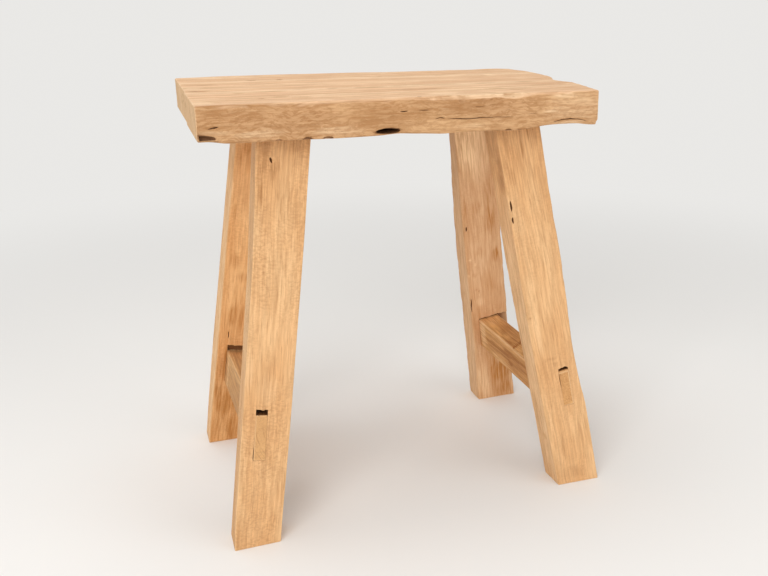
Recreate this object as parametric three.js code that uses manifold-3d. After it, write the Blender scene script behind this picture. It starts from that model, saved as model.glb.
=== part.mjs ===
import * as THREE from "three";
import { mergeVertices } from "three/addons/utils/BufferGeometryUtils.js";
import Module from "manifold-3d";

// A rustic plank stool: a thick seat on four legs that splay both ways, tied front to back by a
// stretcher at each end. Units are millimetres and +Z is up. The origin is on the floor, under the
// middle of the whole stool. +X runs along the seat to the right, and -Y is the front.

// The whole stool
const STOOL_HEIGHT = 500;

// Seat plank
const SEAT_LENGTH = 451.5; // along the front edge
const SEAT_WIDTH = 283.8; // at the left end
const SEAT_THICKNESS = 38;
const SEAT_BACK_SWELL = 5.3; // how far the waney back edge bellies out
const SEAT_END_LEDGE = 13; // the back half of the right end stands out this much more
const SEAT_END_LEDGE_START = 134; // from the front face to the ledge
const SEAT_END_LEDGE_RUN = 45; // and how far it takes to stand out
const SEAT_END_FLARE = 2.5; // the front half of the right end is sawn this much out of square
const SEAT_CORNER_ALONG = 38; // rounded back right corner, along the plank
const SEAT_CORNER_ACROSS = 42; // and across it
const SEAT_ARRIS = 2.5; // worn rounding of the plank's edges

// Hollows where the bark edge was cut away, in the arrises of the front face
const LOWER_HOLLOWS = [
  { fromLeftEnd: 0, halfLength: 18, depth: 11, height: 8 },
  { fromLeftEnd: 200, halfLength: 14, depth: 9, height: 6.5 },
  { fromLeftEnd: 417, halfLength: 23, depth: 6, height: 7 },
];
const UPPER_HOLLOWS = [
  { fromLeftEnd: 262, halfLength: 36, depth: 5, height: 3 },
  { fromLeftEnd: 390, halfLength: 48, depth: 4.5, height: 3 },
];

// Legs: insets and spreads are those of the legs' centre lines
const LEG_LEFT_INSET = 93; // from the plank's left end, under the seat
const LEG_RIGHT_INSET = 84.5; // from the plank's right end, under the seat
const LEG_FRONT_INSET = 60.4; // from the plank's front face, under the seat
const SHOULDER_DEPTH = 144.8; // front leg to back leg, under the seat
const LEG_SPREAD_ALONG = 67.7; // how far each foot stands out, along the plank
const LEG_SPREAD_ACROSS = 65.4; // and across it
const LEG_WIDTH_FOOT = 54;
const LEG_WIDTH_TOP = 58.6;
const LEG_THICKNESS = 36.8;
const LEG_ARRIS = 2.2;
const BACK_RIGHT_LEG_SWELL = 2.6; // the back right leg's inner edge bows out

// Stub tenons at the legs' tops
const LEG_TENON_WIDTH = 34;
const LEG_TENON_THICKNESS = 19;
const LEG_TENON_HEIGHT = 24; // how far it stands up into the seat
const SEAT_MORTISE_SPARE = 1.5; // glue room above the tenon

// Stretchers: middles are heights up the slope of the end frame, at the front and the back leg
const STRETCHER_THICKNESS = 31.3;
const STRETCHER_OUTSET = 13.6; // from the legs' middle plane out to the stretcher's outer face
const STRETCHER_TENON_THICKNESS = 13.3; // barefaced: flush with the outer face
const STRETCHER_HOUSING_DEPTH = 5; // how far the full section is let into each leg
const STRETCHER_ARRIS = 1.2;
const LEFT_STRETCHER = { height: 53, frontMiddle: 127.5, backMiddle: 117.1 };
const RIGHT_STRETCHER = { height: 44.8, frontMiddle: 127.3, backMiddle: 121.3 };

// A saw cut left the front end of the right stretcher's top a little lower
const SAW_STEP = { depth: 1.4, start: -14, slant: 36 }; // start from its middle, slant in degrees

// Hand-cut mortises are taller than the tenons in them by this much
const MORTISE_HEADROOM = {
  front_left: 6.3,
  front_right: 6,
  back_left: 6.4,
  back_right: 2.5,
};

// The housing in the back right leg was sawn on past the stretcher, to the leg's outer edge
const BACK_RIGHT_HOUSING_OVERRUN = 16;

// Gap between surfaces that bear on each other
const SEAT_FIT = 0.3;
const STRETCHER_FIT = 0.3;

// Fineness of the curved surfaces
const ARRIS_STEPS = 3;
const OUTLINE_STEPS = 10;
const LEG_STEPS = 8;
const HOLLOW_STEPS = 16;

// Helpers' own values
const OVERRUN = 60; // how far a cutter runs past what it cuts
const MERGE_DISTANCE = 1e-4;

// Sizes that follow from the ones above
const seatUnderside = STOOL_HEIGHT - SEAT_THICKNESS;
const shoulderHeight = seatUnderside - SEAT_FIT;
const tenonTop = seatUnderside + LEG_TENON_HEIGHT;
const shoulderSpan = SEAT_LENGTH - LEG_LEFT_INSET - LEG_RIGHT_INSET;
const footSpan = shoulderSpan + 2 * LEG_SPREAD_ALONG;
const footDepth = SHOULDER_DEPTH + 2 * LEG_SPREAD_ACROSS;
const sideSplay = Math.atan2(LEG_SPREAD_ALONG, seatUnderside);
const frameSlope = seatUnderside / Math.cos(sideSplay);
const frontSplay = Math.atan2(LEG_SPREAD_ACROSS, frameSlope);
const legLength = frameSlope / Math.cos(frontSplay);
const reach = SEAT_LENGTH + SEAT_WIDTH + STOOL_HEIGHT;

// The plank's edges and the legs' middle, measured from the middle of the whole stool: at the left
// the plank's end and the feet stand out alike, and at the right the plank stands out farther.
const footReach = footSpan / 2 + LEG_WIDTH_FOOT / 2 / Math.cos(sideSplay);
const endOverhang = LEG_RIGHT_INSET + SEAT_END_LEDGE + SEAT_END_FLARE;
const plankRightReach = shoulderSpan / 2 + endOverhang;
const legsMiddle = (footReach - plankRightReach) / 2;
const seatLeft = legsMiddle - shoulderSpan / 2 - LEG_LEFT_INSET;
const seatRight = seatLeft + SEAT_LENGTH;
const seatFront = -SHOULDER_DEPTH / 2 - LEG_FRONT_INSET;
const seatBack = seatFront + SEAT_WIDTH;

const ENDS = { front: -1, back: 1 };
const SIDES = { left: -1, right: 1 };
const STRETCHERS = { left: LEFT_STRETCHER, right: RIGHT_STRETCHER };

const COLOURS = {
  seat: { color: "#dcae7e", roughness: 0.72, metalness: 0 },
  leg: { color: "#dba873", roughness: 0.75, metalness: 0 },
  stretcher: { color: "#c08a5a", roughness: 0.8, metalness: 0 },
};

const wasm = await Module();
wasm.setup();

// A closed geometry, placed by a matrix, as a solid that can be joined and cut.
function solidFrom(geometry, matrix = new THREE.Matrix4()) {
  const shell = geometry.clone().applyMatrix4(matrix);
  shell.deleteAttribute("normal");
  shell.deleteAttribute("uv");
  const merged = mergeVertices(shell, MERGE_DISTANCE);
  return new wasm.Manifold(
    new wasm.Mesh({
      numProp: 3,
      vertProperties: merged.attributes.position.array,
      triVerts: new Uint32Array(merged.index.array),
    }),
  );
}

// A solid back as a flat-shaded geometry.
function geometryFrom(solid) {
  const mesh = solid.getMesh();
  const shared = new THREE.BufferGeometry();
  shared.setAttribute("position", new THREE.BufferAttribute(mesh.vertProperties, 3));
  shared.setIndex(new THREE.BufferAttribute(mesh.triVerts, 1));
  const flat = shared.toNonIndexed();
  flat.computeVertexNormals();
  return flat;
}

// A box between two limits on each axis; the limits may come in either order.
function block([x0, x1], [y0, y1], [z0, z1]) {
  const box = new THREE.BoxGeometry(Math.abs(x1 - x0), Math.abs(y1 - y0), Math.abs(z1 - z0));
  return box.translate((x0 + x1) / 2, (y0 + y1) / 2, (z0 + z1) / 2);
}

// A level layer of space between two heights above the floor.
function layer(low, high) {
  return block([-reach, reach], [-reach, reach], [low, high]);
}

// The place of an end frame: it leans inward, and its own Z runs up the slope of its two legs.
function frameMatrix(side) {
  const turn = new THREE.Matrix4().makeRotationY(-SIDES[side] * sideSplay);
  return turn.setPosition(legsMiddle + (SIDES[side] * footSpan) / 2, 0, 0);
}

// The place of a leg in its end frame: it leans towards the other leg, and its Z runs up the leg.
function legMatrix(end) {
  const turn = new THREE.Matrix4().makeRotationX(ENDS[end] * frontSplay);
  return turn.setPosition(0, (ENDS[end] * footDepth) / 2, 0);
}

// The place of a stretcher in its end frame, from the heights of its middle at the two legs.
function stretcherMatrix(side) {
  const { frontMiddle, backMiddle } = STRETCHERS[side];
  const middle = (frontMiddle + backMiddle) / 2;
  const legToLeg = footDepth - 2 * middle * Math.tan(frontSplay);
  const fall = Math.atan2(frontMiddle - backMiddle, legToLeg);
  return new THREE.Matrix4().makeRotationX(-fall).setPosition(0, 0, middle);
}

// A rectangle around the origin with rounded corners.
function roundedRectangle(width, depth, radius) {
  const x = width / 2;
  const y = depth / 2;
  const shape = new THREE.Shape();
  shape.moveTo(radius - x, -y);
  shape.lineTo(x - radius, -y);
  shape.absarc(x - radius, radius - y, radius, -Math.PI / 2, 0);
  shape.lineTo(x, y - radius);
  shape.absarc(x - radius, y - radius, radius, 0, Math.PI / 2);
  shape.lineTo(radius - x, y);
  shape.absarc(radius - x, y - radius, radius, Math.PI / 2, Math.PI);
  shape.lineTo(-x, radius - y);
  shape.absarc(radius - x, radius - y, radius, Math.PI, 1.5 * Math.PI);
  return shape;
}

// The leg before its ends are cut: it widens upwards, and one inner edge may bow out.
function legBlank(side, swell) {
  const blank = new THREE.ExtrudeGeometry(roundedRectangle(LEG_WIDTH_FOOT, LEG_THICKNESS, LEG_ARRIS), {
    depth: legLength + 2 * OVERRUN,
    steps: LEG_STEPS,
    bevelEnabled: false,
    curveSegments: ARRIS_STEPS,
  });
  blank.translate(0, 0, -OVERRUN);
  const place = blank.getAttribute("position");
  for (let i = 0; i < place.count; i++) {
    const up = place.getZ(i) / legLength;
    const x = place.getX(i) * (1 + (LEG_WIDTH_TOP / LEG_WIDTH_FOOT - 1) * up);
    const inner = x * SIDES[side] < 0;
    const bow = inner ? swell * Math.sin(Math.PI * THREE.MathUtils.clamp(up, 0, 1)) : 0;
    place.setX(i, x - SIDES[side] * bow);
  }
  return blank;
}

// The leg's stub tenon, or its mortise when it is grown by a fit, before the level cuts.
function legTenonBlank(fit) {
  const x = LEG_TENON_WIDTH / 2 + fit;
  const y = LEG_TENON_THICKNESS / 2 + fit;
  return block([-x, x], [-y, y], [legLength - OVERRUN, legLength + OVERRUN]);
}

// A bar much longer than the stretcher, in the stretcher's own frame, with its height and outer
// face. thickness is counted inward from that face, grow is a fit at the sides and below, headroom
// the space left above, and overrun how far it runs on past the outer face.
function stretcherBar(side, thickness, grow = 0, headroom = 0, overrun = 0) {
  const outer = STRETCHER_OUTSET + grow + overrun;
  const inner = STRETCHER_OUTSET - thickness - grow;
  const { height } = STRETCHERS[side];
  const across = [SIDES[side] * inner, SIDES[side] * outer];
  return block(across, [-footDepth, footDepth], [-height / 2 - grow, height / 2 + headroom]);
}

// The visible bar with its arrises eased, as one rounded section carried along the stretcher.
function easedStretcherBar(side) {
  const section = roundedRectangle(STRETCHER_THICKNESS, STRETCHERS[side].height, STRETCHER_ARRIS);
  const bar = new THREE.ExtrudeGeometry(section, {
    depth: 2 * footDepth,
    bevelEnabled: false,
    curveSegments: ARRIS_STEPS,
  });
  const middle = SIDES[side] * (STRETCHER_OUTSET - STRETCHER_THICKNESS / 2);
  return bar.translate(0, 0, -footDepth).rotateX(Math.PI / 2).translate(middle, 0, 0);
}

// The space outside a plane across a leg, given in the end frame: the plane lies from its inner
// face by the given distance, and the space is everything on its outer side.
function beyondLegPlane(end, fromInnerFace) {
  const start = ENDS[end] * (fromInnerFace - LEG_THICKNESS / 2);
  const outward = block([-reach, reach], [start, ENDS[end] * reach], [-reach, reach]);
  return solidFrom(outward, legMatrix(end));
}

// What a stretcher takes out of a leg: a housing for its full section and a mortise right through.
function stretcherVoid(side, end) {
  const headroom = MORTISE_HEADROOM[end + "_" + side];
  const overrun = side === "right" && end === "back" ? BACK_RIGHT_HOUSING_OVERRUN : 0;
  const lie = stretcherMatrix(side);
  const fullBar = stretcherBar(side, STRETCHER_THICKNESS, STRETCHER_FIT, headroom, overrun);
  const tenonBar = stretcherBar(side, STRETCHER_TENON_THICKNESS, STRETCHER_FIT, headroom);
  const housing = solidFrom(fullBar, lie).subtract(beyondLegPlane(end, STRETCHER_HOUSING_DEPTH));
  const mortise = solidFrom(tenonBar, lie);
  const halfSpace = block([-reach, reach], [0, ENDS[end] * reach], [-reach, reach]);
  return housing.add(mortise).intersect(solidFrom(halfSpace));
}

function legSolid(side, end) {
  const frameToLeg = legMatrix(end).invert();
  const worldToLeg = frameToLeg.clone().multiply(frameMatrix(side).invert());
  const swell = side === "right" && end === "back" ? BACK_RIGHT_LEG_SWELL : 0;
  const shank = solidFrom(legBlank(side, swell)).intersect(
    solidFrom(layer(0, shoulderHeight), worldToLeg),
  );
  const tenon = solidFrom(legTenonBlank(0)).intersect(
    solidFrom(layer(shoulderHeight - LEG_TENON_HEIGHT / 2, tenonTop), worldToLeg),
  );
  return shank.add(tenon).subtract(stretcherVoid(side, end).transform(frameToLeg.elements));
}

// What the saw took off the front end of the right stretcher's top, between its two legs.
function sawStepVoid() {
  const top = RIGHT_STRETCHER.height / 2;
  const cut = block([-reach, reach], [-reach, 0], [top - SAW_STEP.depth, top + OVERRUN]);
  cut.rotateZ(THREE.MathUtils.degToRad(SAW_STEP.slant)).translate(0, SAW_STEP.start, 0);
  const insideFrontLeg = beyondLegPlane("front", -STRETCHER_FIT);
  return solidFrom(cut, stretcherMatrix("right")).subtract(insideFrontLeg);
}

function stretcherSolid(side) {
  const lie = stretcherMatrix(side);
  let body = solidFrom(easedStretcherBar(side), lie);
  let tenons = solidFrom(stretcherBar(side, STRETCHER_TENON_THICKNESS), lie);
  if (side === "right") {
    body = body.subtract(sawStepVoid());
    tenons = tenons.subtract(sawStepVoid());
  }
  for (const end of Object.keys(ENDS)) {
    body = body.subtract(beyondLegPlane(end, STRETCHER_HOUSING_DEPTH - STRETCHER_FIT));
    tenons = tenons.subtract(beyondLegPlane(end, LEG_THICKNESS));
  }
  return body.add(tenons);
}

// The plank's outline from above: a straight front and left end, a right end whose back half stands
// out as a ledge, a rounded back right corner and a waney back edge that bellies out.
function seatOutline() {
  const flare = seatRight + SEAT_END_FLARE;
  const ledge = flare + SEAT_END_LEDGE;
  const ledgeStart = seatFront + SEAT_END_LEDGE_START;
  const ledgeEnd = ledgeStart + SEAT_END_LEDGE_RUN;
  const ledgeMiddle = (ledgeStart + ledgeEnd) / 2;
  const swellMiddle = (seatLeft + seatRight) / 2 - SEAT_CORNER_ALONG;
  const outline = new THREE.Shape();
  outline.moveTo(seatLeft, seatFront);
  outline.lineTo(seatRight, seatFront);
  outline.lineTo(flare, ledgeStart);
  outline.bezierCurveTo(flare, ledgeMiddle, ledge, ledgeMiddle, ledge, ledgeEnd);
  outline.lineTo(ledge, seatBack - SEAT_CORNER_ACROSS);
  outline.quadraticCurveTo(ledge, seatBack, ledge - SEAT_CORNER_ALONG, seatBack);
  outline.quadraticCurveTo(swellMiddle, seatBack + 2 * SEAT_BACK_SWELL, seatLeft, seatBack);
  outline.closePath();
  return outline;
}

function seatBlank() {
  const inset = new THREE.ExtrudeGeometry(seatOutline(), {
    depth: SEAT_THICKNESS - 2 * SEAT_ARRIS,
    bevelThickness: SEAT_ARRIS,
    bevelSize: SEAT_ARRIS,
    bevelOffset: -SEAT_ARRIS,
    bevelSegments: ARRIS_STEPS,
    curveSegments: OUTLINE_STEPS,
  });
  return inset.translate(0, 0, seatUnderside + SEAT_ARRIS);
}

// An ellipsoid on an arris of the front face, at the given height, which takes one hollow out.
function hollowCutter({ fromLeftEnd, halfLength, depth, height }, arrisHeight) {
  const ball = new THREE.SphereGeometry(1, HOLLOW_STEPS, HOLLOW_STEPS / 2);
  ball.scale(halfLength, depth, height);
  return solidFrom(ball.translate(seatLeft + fromLeftEnd, seatFront, arrisHeight));
}

function seatSolid() {
  let seat = solidFrom(seatBlank());
  for (const hollow of LOWER_HOLLOWS) seat = seat.subtract(hollowCutter(hollow, seatUnderside));
  for (const hollow of UPPER_HOLLOWS) seat = seat.subtract(hollowCutter(hollow, STOOL_HEIGHT));
  const mortiseDepth = solidFrom(layer(seatUnderside - OVERRUN, tenonTop + SEAT_MORTISE_SPARE));
  for (const side of Object.keys(SIDES)) {
    for (const end of Object.keys(ENDS)) {
      const legToWorld = frameMatrix(side).multiply(legMatrix(end));
      const mortise = solidFrom(legTenonBlank(SEAT_FIT), legToWorld).intersect(mortiseDepth);
      seat = seat.subtract(mortise);
    }
  }
  return seat;
}

function piece(name, kind, solid) {
  const mesh = new THREE.Mesh(geometryFrom(solid), new THREE.MeshStandardMaterial(COLOURS[kind]));
  mesh.name = name;
  return mesh;
}

// A group whose place in its parent is a matrix.
function groupAt(matrix) {
  const group = new THREE.Group();
  group.applyMatrix4(matrix);
  return group;
}

const stool = new THREE.Group();
stool.add(piece("seat_plank", "seat", seatSolid()));
for (const side of Object.keys(SIDES)) {
  const frame = groupAt(frameMatrix(side));
  for (const end of Object.keys(ENDS)) {
    const leg = groupAt(legMatrix(end));
    leg.add(piece("leg_" + end + "_" + side, "leg", legSolid(side, end)));
    frame.add(leg);
  }
  frame.add(piece("stretcher_" + side, "stretcher", stretcherSolid(side)));
  stool.add(frame);
}

export default stool;
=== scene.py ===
"""A rustic plank stool in pale elm: a thick hewn seat on four legs that splay both ways, with a
tenoned stretcher across each end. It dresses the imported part, in metres, with -Y to the front."""

import itertools
import math

import bpy
import numpy as np
from mathutils import Matrix, Vector
from mathutils.kdtree import KDTree


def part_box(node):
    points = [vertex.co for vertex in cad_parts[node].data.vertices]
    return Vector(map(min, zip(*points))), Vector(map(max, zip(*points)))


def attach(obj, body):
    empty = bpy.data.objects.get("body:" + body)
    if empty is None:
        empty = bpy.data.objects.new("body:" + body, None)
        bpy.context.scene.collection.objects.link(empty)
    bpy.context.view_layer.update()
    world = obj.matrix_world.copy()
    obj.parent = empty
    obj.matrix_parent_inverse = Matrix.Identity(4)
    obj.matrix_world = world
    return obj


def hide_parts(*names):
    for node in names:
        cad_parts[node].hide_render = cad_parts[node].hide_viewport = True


bl_info = {
    "name": "Splayed Plank Stool",
    "version": (1, 0, 0),
    "blender": (4, 5, 0),
    "location": "3D View > Sidebar > Stool",
    "description": "Builds a rustic plank stool on splayed, mortised legs with two end stretchers",
    "category": "Add Mesh",
}

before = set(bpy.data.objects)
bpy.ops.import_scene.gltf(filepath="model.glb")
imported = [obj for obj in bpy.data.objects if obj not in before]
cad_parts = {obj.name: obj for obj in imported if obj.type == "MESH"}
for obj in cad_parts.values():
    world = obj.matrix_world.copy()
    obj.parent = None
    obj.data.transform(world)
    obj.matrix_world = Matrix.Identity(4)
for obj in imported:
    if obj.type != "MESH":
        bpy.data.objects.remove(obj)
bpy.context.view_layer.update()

MM = 0.001
SEAT_LOW, SEAT_HIGH = (np.array(corner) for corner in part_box("seat_plank"))
UNDERSIDE = SEAT_LOW[2]
LEGS_MIDDLE = (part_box("leg_front_left")[0][0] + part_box("leg_front_right")[1][0]) / 2
SIDES = {"left": -1, "right": 1}
ENDS = {"front": -1, "back": 1}
SHARP_ANGLE = math.radians(38)  # faces that meet at more than this are shaded apart
LEAST_REACH = 1.6  # of a mark, in millimetres: a grid shows no finer one


# Sizes and colours that a user would change


def length(name, description, default):
    """A property in metres for the sidebar."""
    return bpy.props.FloatProperty(name=name, description=description, default=default, unit="LENGTH")


def colour(name, description, default):
    """A property with a linear colour for the sidebar."""
    return bpy.props.FloatVectorProperty(
        name=name, description=description, default=default, size=3, min=0, max=1, subtype="COLOR"
    )


class StoolSizes(bpy.types.PropertyGroup):
    foot_span: length("Foot span", "Between the left and right feet's centres", 409.4 * MM)
    foot_depth: length("Foot depth", "Between the front and back feet's centres", 275.6 * MM)
    shoulder_span: length("Shoulder span", "Between the left and right legs under the seat", 274 * MM)
    shoulder_depth: length("Shoulder depth", "Between the front and back legs under the seat", 144.8 * MM)
    leg_width_foot: length("Leg width at foot", "Along the seat", 54 * MM)
    leg_width_top: length("Leg width at top", "Along the seat", 58.6 * MM)
    leg_thickness: length("Leg thickness", "Front to back", 36.8 * MM)
    seat_arris: length("Seat arris", "Rounding of the plank's edges", 1.5 * MM)
    leg_arris: length("Leg arris", "Rounding of the legs' edges", 1.1 * MM)
    stretcher_thickness: length("Stretcher thickness", "Along the seat", 31.3 * MM)
    stretcher_outset: length("Stretcher outset", "From the legs' middle to the outer face", 13.6 * MM)
    stretcher_tenon: length("Stretcher tenon", "Thickness of its barefaced tenons", 13.3 * MM)
    stretcher_housing: length("Housing depth", "How deep a stretcher is let into a leg", 5 * MM)
    hewn_depth: length("Hewn depth", "How deep the axe and plane marks go into the seat", 1.5 * MM)


class StoolColours(bpy.types.PropertyGroup):
    seat_pale: colour("Seat, pale", "Scrubbed top of the plank", (0.90, 0.665, 0.425))
    seat_tan: colour("Seat, tan", "Darker growth lines of the top", (0.67, 0.385, 0.215))
    seat_face: colour("Seat edge", "Hewn front edge of the plank", (0.535, 0.30, 0.142))
    seat_end: colour("Seat end", "Sawn ends of the plank", (0.73, 0.48, 0.257))
    leg_pale: colour("Leg, pale", "Worn lower part of the legs", (0.84, 0.545, 0.285))
    leg_tan: colour("Leg, tan", "Warm upper part of the legs", (0.72, 0.40, 0.18))
    shade_pale: colour("Back right leg, pale", "Greyer wood of one leg", (0.74, 0.475, 0.275))
    shade_tan: colour("Back right leg, tan", "Growth lines of that leg", (0.64, 0.37, 0.19))
    warm_pale: colour("Back left leg, pale", "Oranger wood of one leg", (0.855, 0.508, 0.235))
    warm_tan: colour("Back left leg, tan", "Growth lines of that leg", (0.735, 0.377, 0.152))
    # Worn edges of the legs, lightened also as a painted highlight along the arrises.
    arris_highlight_pale: colour("Leg arrises", "Rubbed edges of the legs", (0.90, 0.62, 0.34))
    # Scoured places on the legs, and the paler colour that paints light over the shade under the seat.
    leg_scoured_and_lit: colour("Leg, bleached", "Scoured places on the legs", (0.92, 0.645, 0.375))
    stretcher_pale: colour("Stretcher, pale", "Rubbed wood of the stretchers", (0.78, 0.46, 0.20))
    stretcher_warm: colour("Right stretcher, pale", "Rubbed wood of that stretcher", (0.84, 0.465, 0.17))
    stretcher_tan: colour("Stretcher, tan", "Aged wood of the stretchers", (0.54, 0.27, 0.10))
    grain_brown: colour("Grain", "Latewood lines and stains", (0.37, 0.175, 0.062))
    # Painted shade inside hollows, nicks, fissures and joints; in the seat's lower hollows it stands also
    # for their darker old surface.
    hole_shade_brown: colour("Hole", "Inside of holes and fissures", (0.13, 0.045, 0.01))
    end_tan: colour("End grain", "Ends of the tenons and feet", (0.64, 0.36, 0.155))
    aged_brown: colour("Stain, warm", "Stains of the back legs", (0.42, 0.165, 0.036))
    stretcher_brown: colour("Stain, stretcher", "Streaks of the right stretcher", (0.38, 0.15, 0.038))
    floor_pale: colour("Floor", "Plain studio floor and backdrop", (0.82, 0.81, 0.79))


def sizes():
    return bpy.context.scene.stool_sizes


def colours():
    return bpy.context.scene.stool_colours


# Numbers spread over space


def lattice_number(cell, seed):
    """For each whole-number place (n, 3), a hash of its indices and the seed, from -1 to 1."""
    steps = np.array([73856093, 19349663, 83492791], np.uint64)
    mask = np.uint64(0xFFFFFFFF)
    mixed = ((cell.astype(np.uint64) * steps).sum(-1) + np.uint64(seed * 668265263)) & mask
    for shift, factor in ((15, 2246822519), (13, 3266489917)):
        mixed = ((mixed ^ (mixed >> np.uint64(shift))) * np.uint64(factor)) & mask
    mixed ^= mixed >> np.uint64(16)
    return mixed / float(mask) * 2 - 1


def noise(points, cell_size, seed):
    """Smooth noise from -1 to 1: the eight lattice numbers round a place, blended by 3t^2 - 2t^3."""
    place = points / np.array(cell_size)
    cell = np.floor(place).astype(np.int64)
    part = place - cell
    part = part * part * (3 - 2 * part)
    total = np.zeros(len(points))
    for corner in itertools.product((0, 1), repeat=3):
        share = np.where(np.array(corner, bool), part, 1 - part).prod(-1)
        total += share * lattice_number(cell + np.array(corner), seed)
    return total


def fractal(points, cell_size, seed, octaves=3):
    """Noise at halving sizes and halving strengths, added up, from about -1 to 1."""
    layers = [noise(points, np.array(cell_size) / 2**k, seed + 17 * k) / 2**k for k in range(octaves)]
    return sum(layers) / (2 - 2 ** (1 - octaves))


def smooth(low, high, value):
    """0 below low and 1 above high, with 3t^2 - 2t^3 between them."""
    t = np.clip((value - low) / (high - low), 0, 1)
    return t * t * (3 - 2 * t)


# Blocks of timber as welded grids


def ruled(low, high, spacing, arris, arris_steps=3):
    """Places along one side of a block: spaced as tan(angle) in the arris at each end, even between."""
    band = np.tan(np.linspace(0, math.pi / 4, arris_steps + 1)) * arris
    count = max(2, round((high - low - 2 * arris) / spacing) + 1)
    middle = np.linspace(low + arris, high - arris, count)
    return np.concatenate([low + arris - band[::-1], middle[1:-1], high - arris + band])


def welded_grids(counts):
    """The whole-number places on a block's skin, and quads between neighbours that face outwards."""
    index = np.full([n + 1 for n in counts], -1)
    skin = np.zeros(index.shape, bool)
    for axis in range(3):
        view = np.moveaxis(skin, axis, 0)
        view[0] = view[-1] = True
    index[skin] = np.arange(skin.sum())
    faces = []
    for axis, side in itertools.product(range(3), (0, -1)):
        sheet = index.take(side, axis)
        quads = np.stack([sheet[:-1, :-1], sheet[1:, :-1], sheet[1:, 1:], sheet[:-1, 1:]], -1)
        faces.append(quads.reshape(-1, 4)[:, :: -1 if (side == 0) ^ (axis == 1) else 1])
    return np.argwhere(skin), np.concatenate(faces)


def eased_block(axes, arris):
    """A block on three rulers with rounded edges. Each place is pulled into the block that is
    smaller by the arris all round, and set back out by the arris along the line between them.
    Gives the points, their outward directions and the quads."""
    arris = np.broadcast_to(np.array(arris, float), 3)
    places, faces = welded_grids([len(axis) - 1 for axis in axes])
    points = np.stack([np.asarray(axis)[places[:, k]] for k, axis in enumerate(axes)], -1)
    low, high = (np.array([axis[end] for axis in axes]) for end in (0, -1))
    core = np.clip(points, low + arris, high - arris)
    away = (points - core) / arris
    outward = away / np.linalg.norm(away, axis=1, keepdims=True)
    return core + outward * arris, outward, faces


def wear_arrises(points, half, cut):
    """Planes the four long arrises off: a point past the 45 degree plane that stands `cut` inside
    its corner goes back onto that plane. The section is centred on the third axis."""
    over = (np.abs(points[:, :2]) - half).sum(1) / math.sqrt(2) + cut
    points[:, :2] -= np.sign(points[:, :2]) * np.maximum(over, 0)[:, None] / math.sqrt(2)
    return points


def new_piece(name, points, faces):
    """A mesh object at the world's origin, from arrays of points and quads in metres."""
    mesh = bpy.data.meshes.new(name)
    mesh.from_pydata(points.tolist(), [], faces.tolist())
    mesh.validate()
    piece = bpy.data.objects.new(name, mesh)
    bpy.context.scene.collection.objects.link(piece)
    return piece


def cut_out(piece, *cutters, careful=False):
    """Takes each cutter out of the piece with an exact Boolean, which is applied at once. A careful
    cut is slower, and stands a cutter that leaves the piece through its side."""
    for cutter in cutters:
        step = piece.modifiers.new("cut", "BOOLEAN")
        step.operation = "DIFFERENCE"
        step.solver = "EXACT"
        step.use_self = careful
        step.object = cutter
        bpy.context.view_layer.update()
        cut = bpy.data.meshes.new_from_object(piece.evaluated_get(bpy.context.evaluated_depsgraph_get()))
        if len(cut.vertices) < len(piece.data.vertices) / 2:
            raise RuntimeError(f"{cutter.name} takes more than half of {piece.name} away")
        piece.modifiers.clear()
        piece.data = cut
        bpy.data.objects.remove(cutter)


def joined(name, parts):
    """Several point and face arrays as one object."""
    starts = np.cumsum([0] + [len(points) for points, _ in parts])
    vertices = np.concatenate([points for points, _ in parts])
    faces = [np.array(quads) + start for (_, quads), start in zip(parts, starts)]
    return new_piece(name, vertices, np.concatenate(faces))


def places_of(piece):
    """A piece's vertices as an array of three columns."""
    co = np.empty(len(piece.data.vertices) * 3, np.float32)
    piece.data.vertices.foreach_get("co", co)
    return co.reshape(-1, 3).astype(float)


def mark(piece, name, values):
    """Keeps a number for each vertex, from 0 to 1, for the material to read."""
    attribute = piece.data.attributes.new(name, "FLOAT", "POINT")
    attribute.data.foreach_set("value", np.clip(values, 0, 1).astype(np.float32))


def ovals(first, second, rows, fray):
    """Adds up soft ovals on a face. A row is a centre, two reaches and a strength, in millimetres: an
    oval fades out between 0.4 and 1.2 of its reach, `fray` shifts that distance, and a shorter reach
    than the least one counts as that."""
    total = np.zeros(len(first))
    for a, b, *reaches, strength in rows:
        reach_a, reach_b = np.maximum(reaches, LEAST_REACH)
        far = np.hypot((first / MM - a) / reach_a, (second / MM - b) / reach_b)
        total += strength * smooth(1.2, 0.4, far + 0.35 * fray)
    return total


def mark_stains_and_light(piece, amounts):
    """Keeps stains and painted shade, where the amount is over 0, apart from paler places and painted
    light, where it is under 0.
    """
    mark(piece, "stain_and_shade", amounts)
    mark(piece, "bleach_and_light", -amounts)


def finish_piece(piece, node, material):
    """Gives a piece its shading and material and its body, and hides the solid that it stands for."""
    piece.data.shade_smooth()
    piece.data.set_sharp_from_angle(angle=SHARP_ANGLE)
    piece.data.materials.clear()
    piece.data.materials.append(material)
    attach(piece, "root")
    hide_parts(node)


# Hollows and fissures that are cut out of a piece


def scoop(centre, reach, seed, rough=0.12, floor=(-1, -1, -1)):
    """A rough ellipsoid: a block's grid pushed onto the unit sphere, scaled by its three reaches,
    each point moved in or out by noise and then held at or above the floor's coordinates."""
    steps = np.tan(np.linspace(-math.pi / 4, math.pi / 4, 13))
    points, _, faces = eased_block([steps] * 3, 0.999)
    points /= np.linalg.norm(points, axis=1, keepdims=True)
    points *= 1 + rough * fractal(points, (0.7, 0.7, 0.7), seed, 2)[:, None]
    return np.maximum(points * np.array(reach) + np.array(centre), floor), faces


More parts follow.
